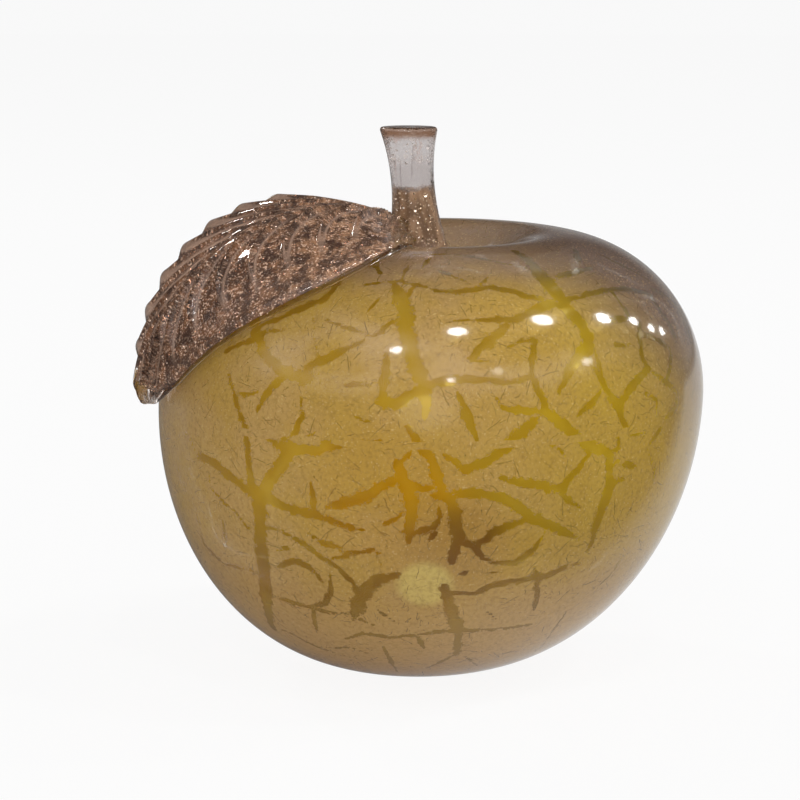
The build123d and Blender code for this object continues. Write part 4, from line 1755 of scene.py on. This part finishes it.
        comb = comb * ease((u - self.scroll_end) / self.comb_fall)[:, None]
        crest = np.where(near, rib, 2 * np.clip(0.5 + 0.5 * rib, 0, 1) ** self.far_crest - 1)
        kept = {"rib": crest, "scroll": scroll, "phase": swept * self.comb_waves, "comb": comb}
        for label, numbers in kept.items():
            store_numbers(made, label, np.concatenate([numbers.ravel(), np.zeros(numbers.size)]))
        return made

    def ribs_at(self, u: Array, across: Array, near: Array) -> tuple[Array, Array]:
        """Ribs that sweep from the midrib towards the margins.

        Args:
            u: fractions of the leaf's length.
            across: fractions of its half width.
            near: true on the near half.

        Returns:
            The rib height, from -1 in a valley to 1 on a rib, and the fraction of the length at which
            each rib leaves the midrib.
        """
        swept = u[:, None] - self.rib_sweep * (1 - (1 - across) ** self.rib_curve)
        sharp = np.where(near, self.rib_sharpness * (1 + self.rib_sharpening * across), 1.0)
        rib = (0.5 + 0.5 * np.cos(2 * math.pi * self.ribs * swept)) ** sharp
        fade = np.where(near, 1 - ease((across - self.rib_end) / self.rib_fade), 1.0)
        return (2 * rib - 1) * fade * ease(across / self.rib_start), swept

    def scroll_at(self, u: Array, v: Array, half: Array) -> tuple[Array, Array]:
        """Curled ridges at the near corner of the root.

        Args:
            u: fractions of the leaf's length.
            v: fractions of its half width, 1 at the near margin.
            half: half widths at u.

        Returns:
            The height of the ridges, from -1 to 1, and the share of the scroll, from 0 to 1.
        """
        run = (u[:, None] - self.scroll_middle) * self.length
        aside = (1.0 - v[None, :]) * half[:, None]
        away = np.hypot(run, aside)
        start, end = (self.scroll_reach * part for part in self.scroll_edge)
        share = 1 - ease((away - start) / (end - start))
        return np.cos(2 * math.pi * away / self.scroll_pitch) * share, share

    def ground_under(self, spine: Array, out: Array) -> Array:
        """Heights of the apple's surface over the leaf's section planes, along their outward direction."""

        def free(at: Array) -> Array:
            """Tells whether the given heights lie clear of the apple."""
            return self.shape.level(spine + at[..., None] * out) >= 1

        low, high = (np.full(spine.shape[:2], end) for end in self.ground_reach)
        return narrowed(free, low, high, self.ground_rounds)

    def seated(self, points: Array, out: Array, gap: float) -> Array:
        """Lifts points that lie in the apple to a gap over its surface."""
        flat = points.reshape(-1, 3).copy()
        ways = np.broadcast_to(out, points.shape).reshape(-1, 3)

        def free(lift: Array) -> Array:
            """Tells whether points lie clear of the apple once lifted."""
            return self.shape.level(flat + lift[:, None] * ways, gap) >= 1

        none = np.zeros(len(flat))
        lift = narrowed(free, none, none + self.seat_reach, self.seat_rounds)
        sunk = ~free(none)
        flat[sunk] += lift[sunk, None] * ways[sunk]
        return flat.reshape(points.shape)

    def closed(self, name: str, upper: Array, lower: Array, finishes: list) -> bpy.types.Object:
        """Joins an upper and a lower sheet of points into one closed body.

        Args:
            name: name of the object.
            upper: rows of points of the upper sheet.
            lower: rows of points of the lower sheet.
            finishes: finish of the body and, where it is fused to the apple, of its seat.

        Returns:
            The closed body.
        """
        rows, columns = upper.shape[:2]
        number = np.arange(rows * columns).reshape(rows, columns)
        below = number + rows * columns

        def strip(a: Array, b: Array) -> Array:
            """Faces between equal rows of corner numbers."""
            return np.stack([a[..., :-1], a[..., 1:], b[..., 1:], b[..., :-1]], -1).reshape(-1, 4)

        sheets = [strip(number[:-1], number[1:]), strip(below[:-1], below[1:])[:, ::-1]]
        sides = [strip(below[:, 0], number[:, 0]), strip(number[:, -1], below[:, -1])]
        ends = [strip(number[0], below[0]), strip(below[-1], number[-1])]
        faces = np.concatenate(sheets + sides + ends)
        points = np.concatenate([upper.reshape(-1, 3), lower.reshape(-1, 3)])
        picks = np.zeros(len(faces), dtype=int)
        if len(finishes) > 1:
            fused = self.shape.level(points, self.seat_gap + self.fused_gap) < 1
            seat = slice(len(sheets[0]), len(sheets[0]) + len(sheets[1]))
            picks[seat] = fused[sheets[1]].all(axis=1)
        return make_object(name, points, faces.tolist(), finishes, picks)

    def build(self) -> None:
        """Makes and dresses the leaf."""
        joint = FusedJoint("leaf_joint").build()
        jacket = self.sheet("leaf_jacket_glass", False, [LeafGlass().build(), joint])
        hand_over(jacket, Slot.CLEAR, "leaf_jacket")
        core = self.sheet("leaf_core_glass", True, [CopperDust().build()])
        hand_over(core, Slot.COPPER_FLECK, "leaf_core")
        self.flecks.build(core, self.fleck_metal, Slot.COPPER_FLECK)


@dataclass(frozen=True)
class Lamp:
    """One round lamp that looks at the apple."""

    name: str
    bearing: float
    height: float
    size: float
    strength: float
    diffuse: float = 0.06
    mirrored: bool = True
    distance: float = 1500.0
    target: tuple[float, float, float] = (0.0, 0.0, 60.0)

    def build(self) -> None:
        """Makes the lamp, unseen by the camera itself."""
        data = bpy.data.lights.new(self.name, "AREA")
        data.shape = "DISK"
        data.size = self.size * MM
        data.energy = self.strength * (math.pi * self.size * MM / 2) ** 2
        data.diffuse_factor = self.diffuse
        made = linked(self.name, data)
        turn, climb = math.radians(self.bearing), math.radians(self.height)
        way = Vector((math.cos(turn) * math.cos(climb), math.sin(turn) * math.cos(climb), math.sin(climb)))
        made.location = Vector(self.target) * MM + way * self.distance * MM
        made.rotation_euler = (-way).to_track_quat("-Z", "Y").to_euler()
        made.visible_camera = False
        made.visible_glossy = self.mirrored


@dataclass(frozen=True)
class TentCloth(Finish):
    """Dark cloth, through which a share of the white room shows."""

    dark: tuple = (0.055, 0.05, 0.05, 1.0)
    far_share: float = 0.3

    def opened(self, graph: ShaderGraph, share: object, level: object) -> bpy.types.Node:
        """Adds the cloth with its opening.

        Args:
            graph: material that gets the nodes.
            share: share of the room behind the cloth.
            level: how much brighter than dark the cloth is.

        Returns:
            The mixed shader.
        """
        cloth = graph.node("ShaderNodeEmission", {"Color": self.dark, "Strength": level})
        return graph.mix(share, cloth, graph.clear())


@dataclass(frozen=True)
class DomeCloth(TentCloth):
    """Cloth of the dome, pale in a band in front and open just over the horizon behind."""

    name: str = "tent_cloth"
    reach: float = 2300.0
    bearing: float = 75.0
    aim: tuple[float, float] = (0.80, 0.92)
    angles: tuple[float, float] = (3.0, 16.0)
    glow: float = 1.7
    glow_start: tuple[float, float] = (14.0, 34.0)
    glow_end: tuple[float, float] = (60.0, 76.0)
    glow_front: tuple[float, float] = (0.35, -0.2)
    fold_scale: float = 0.9
    folds: tuple[float, float] = (0.3, 0.7)

    def rises(self, angles: tuple[float, float]) -> list[float]:
        """Heights at which the dome stands at angles over the horizon."""
        return [self.reach * math.sin(math.radians(angle)) for angle in angles]

    def shader(self, graph: ShaderGraph) -> bpy.types.Node:
        """Adds the opening and the pale band."""
        axes = graph.axes(graph.spot)
        height = axes["Z"]
        turn = math.radians(self.bearing)
        flat = graph.vector("NORMALIZE", graph.vector("MULTIPLY", graph.place, (1.0, 1.0, 0.0)))
        aim = graph.vector("DOT_PRODUCT", flat, (math.cos(turn), math.sin(turn), 0.0))
        share = graph.product(
            graph.ramp(aim, *self.aim, 0.0, self.far_share),
            graph.ramp(height, *self.rises(self.angles), 1.0, 0.0),
        )
        start, end = (part * self.reach for part in self.glow_front)
        bright = graph.product(
            graph.ramp(height, *self.rises(self.glow_start)),
            graph.ramp(height, *self.rises(self.glow_end), 1.0, 0.0),
            graph.ramp(axes["Y"], start, end),
            graph.ramp(graph.noise(self.fold_scale), *self.folds),
        )
        return self.opened(graph, share, graph.ramp(bright, 0.0, 1.0, 1.0, self.glow / self.dark[0]))


@dataclass(frozen=True)
class SheetCloth(TentCloth):
    """Cloth of the ground sheet, open past an edge that runs to the back right."""

    name: str = "tent_sheet"
    open_share: float = 0.75
    edge_bearing: float = 42.3
    edge_offset: float = 66.0
    edge: tuple[float, float] = (-45.0, 15.0)
    side: tuple[float, float] = (-30.0, 45.0)
    side_share: float = 0.16
    far: tuple[float, float] = (800.0, 1600.0)

    def shader(self, graph: ShaderGraph) -> bpy.types.Node:
        """Adds the opening, which narrows to the left and far away."""
        turn = math.radians(self.edge_bearing)
        past = graph.vector("DOT_PRODUCT", graph.spot, (-math.sin(turn), math.cos(turn), 0.0))
        past = graph.math("ADD", past, self.edge_offset)
        share = graph.product(
            graph.ramp(past, *self.edge, 0.0, self.open_share),
            graph.ramp(graph.axes(graph.spot)["X"], *self.side, self.side_share, 1.0),
            graph.ramp(graph.away_from((0.0, 0.0, 0.0)), *self.far, 1.0, self.far_share),
        )
        return self.opened(graph, share, 1.0)


@dataclass(frozen=True)
class DarkTent:
    """Dark tent out of view that the glass mirrors, open to the white room at the back right."""

    reach: float = 2300.0
    ground_height: float = 0.5
    rings: int = 24
    turns: int = 48

    def build(self) -> None:
        """Makes the tent's dome and its ground sheet, which only reflections show."""
        climb = np.linspace(0, math.pi / 2, self.rings)[:, None]
        turn = np.linspace(0, 2 * math.pi, self.turns, endpoint=False)[None, :]
        flat = np.cos(climb)
        dome = np.stack(np.broadcast_arrays(flat * np.cos(turn), flat * np.sin(turn), np.sin(climb)), -1)
        dome = dome.reshape(-1, 3) * self.reach
        faces = ring_faces(self.turns, self.rings)[:, [0, 3, 2, 1]].tolist()
        spread = SQUARE * self.reach + (0.0, 0.0, self.ground_height)
        cover = make_object("tent_dome", dome, faces, [DomeCloth(reach=self.reach).build()])
        ground = make_object("tent_ground", spread, [[0, 1, 2, 3]], [SheetCloth().build()])
        for made in (cover, ground):
            made.visible_camera = False
            made.visible_diffuse = False
            made.visible_transmission = False
            made.visible_shadow = False


@dataclass(frozen=True)
class PaleFloor(Finish):
    """Floor that is almost white to look at, with soft shadows on it."""

    name: str = "pale_floor"
    colour: tuple = (0.9, 0.9, 0.9, 1.0)
    roughness: float = 0.9
    white: float = 0.9

    def shader(self, graph: ShaderGraph) -> bpy.types.Node:
        """Adds a plain grey that mostly gives way to white where it is looked at."""
        plain = graph.principled(Base_Color=self.colour, Roughness=self.roughness)
        share = graph.product(graph.background_ray(), self.white)
        return graph.mix(share, plain, graph.node("ShaderNodeEmission"))


@dataclass(frozen=True)
class Studio:
    """Pale floor, white room, dark tent and lamps."""

    floor_size: float = 6000.0
    horizon_light: float = 0.7
    zenith_light: float = 0.15
    front_light: float = 0.5
    clear_bounces: int = 32
    lamps: tuple[Lamp, ...] = (
        Lamp("lamp_front_left", -112, 52, 105, 36),
        Lamp("lamp_front", -73, 65, 150, 36),
        Lamp("lamp_right_high", -10, 57, 175, 36, 0.03),
        Lamp("lamp_right", 16, 40, 155, 30, 0.02),
        Lamp("lamp_far_right", 27, 29, 95, 26, 0.01),
        Lamp("lamp_far_right_low", 32, 21, 75, 26, 0.01),
        Lamp("lamp_right_end", 37, 16, 65, 26, 0.01),
        Lamp("lamp_low_front", -82, 32, 70, 26, 0.02),
        Lamp("lamp_low_middle", -60, 35, 110, 6, 0.02),
        Lamp("lamp_low_right", -16, 28, 110, 12, 0.02),
        Lamp("lamp_leaf", 133, 38, 190, 30, 0.02),
        Lamp("soft_box", -92, 12, 620, 4.6, 1.0, False),
    )
    tent: DarkTent = DarkTent()

    def build(self) -> None:
        """Makes the floor, the room, the tent and the lamps."""
        spread = SQUARE * self.floor_size / 2
        floor = make_object("floor", spread, [[0, 1, 2, 3]], [PaleFloor().build()])
        self.build_room()
        self.tent.build()
        for lamp in self.lamps:
            lamp.build()
        bpy.context.scene.view_settings.view_transform = "Standard"
        bpy.context.scene.cycles.transparent_max_bounces = self.clear_bounces

    def build_room(self) -> None:
        """Makes the world: white to look at, and a soft light that is strongest from the front."""
        world = bpy.data.worlds.new("white_room")
        bpy.context.scene.world = world
        world.use_nodes = True
        graph = NodeGraph(world.node_tree)
        way = graph.axes(graph.node("ShaderNodeTexCoord").outputs["Generated"])
        high = graph.math("MAXIMUM", way["Z"], 0.0)
        front = graph.math("MAXIMUM", graph.product(way["Y"], -1.0), 0.0)
        soft = graph.product(high, self.zenith_light - self.horizon_light)
        soft = graph.math("ADD", self.horizon_light, soft)
        soft = graph.math("ADD", soft, graph.product(front, self.front_light))
        lack = graph.math("SUBTRACT", 1.0, soft)
        level = graph.math("ADD", graph.product(graph.background_ray(), lack), soft)
        light = graph.node("ShaderNodeBackground", {"Color": WHITE, "Strength": level})
        graph.node("ShaderNodeOutputWorld", {"Surface": light.outputs[0]})


def main() -> None:
    """Builds the apple, the studio and the camera, and reports each piece."""
    logging.basicConfig(level=logging.INFO, format="%(name)s %(message)s")
    shape = AppleShape()
    camera = PhotoCamera()
    tears = UNDER_LEAF_TEARS + LEFT_TEARS + LOW_LEFT_TEARS + MAIN_FRONT_TEARS + NEAR_LIP_TEARS
    tears += RIGHT_SHOULDER_TEARS + CENTRE_TEARS + LOW_CENTRE_TEARS + RIGHT_SIDE_TEARS
    AppleBody(shape, Crackle(shape, camera, tears)).build()
    Stem(shape).build()
    Leaf(shape).build()
    Studio().build()
    camera.build()


if __name__ == "__main__":
    main()
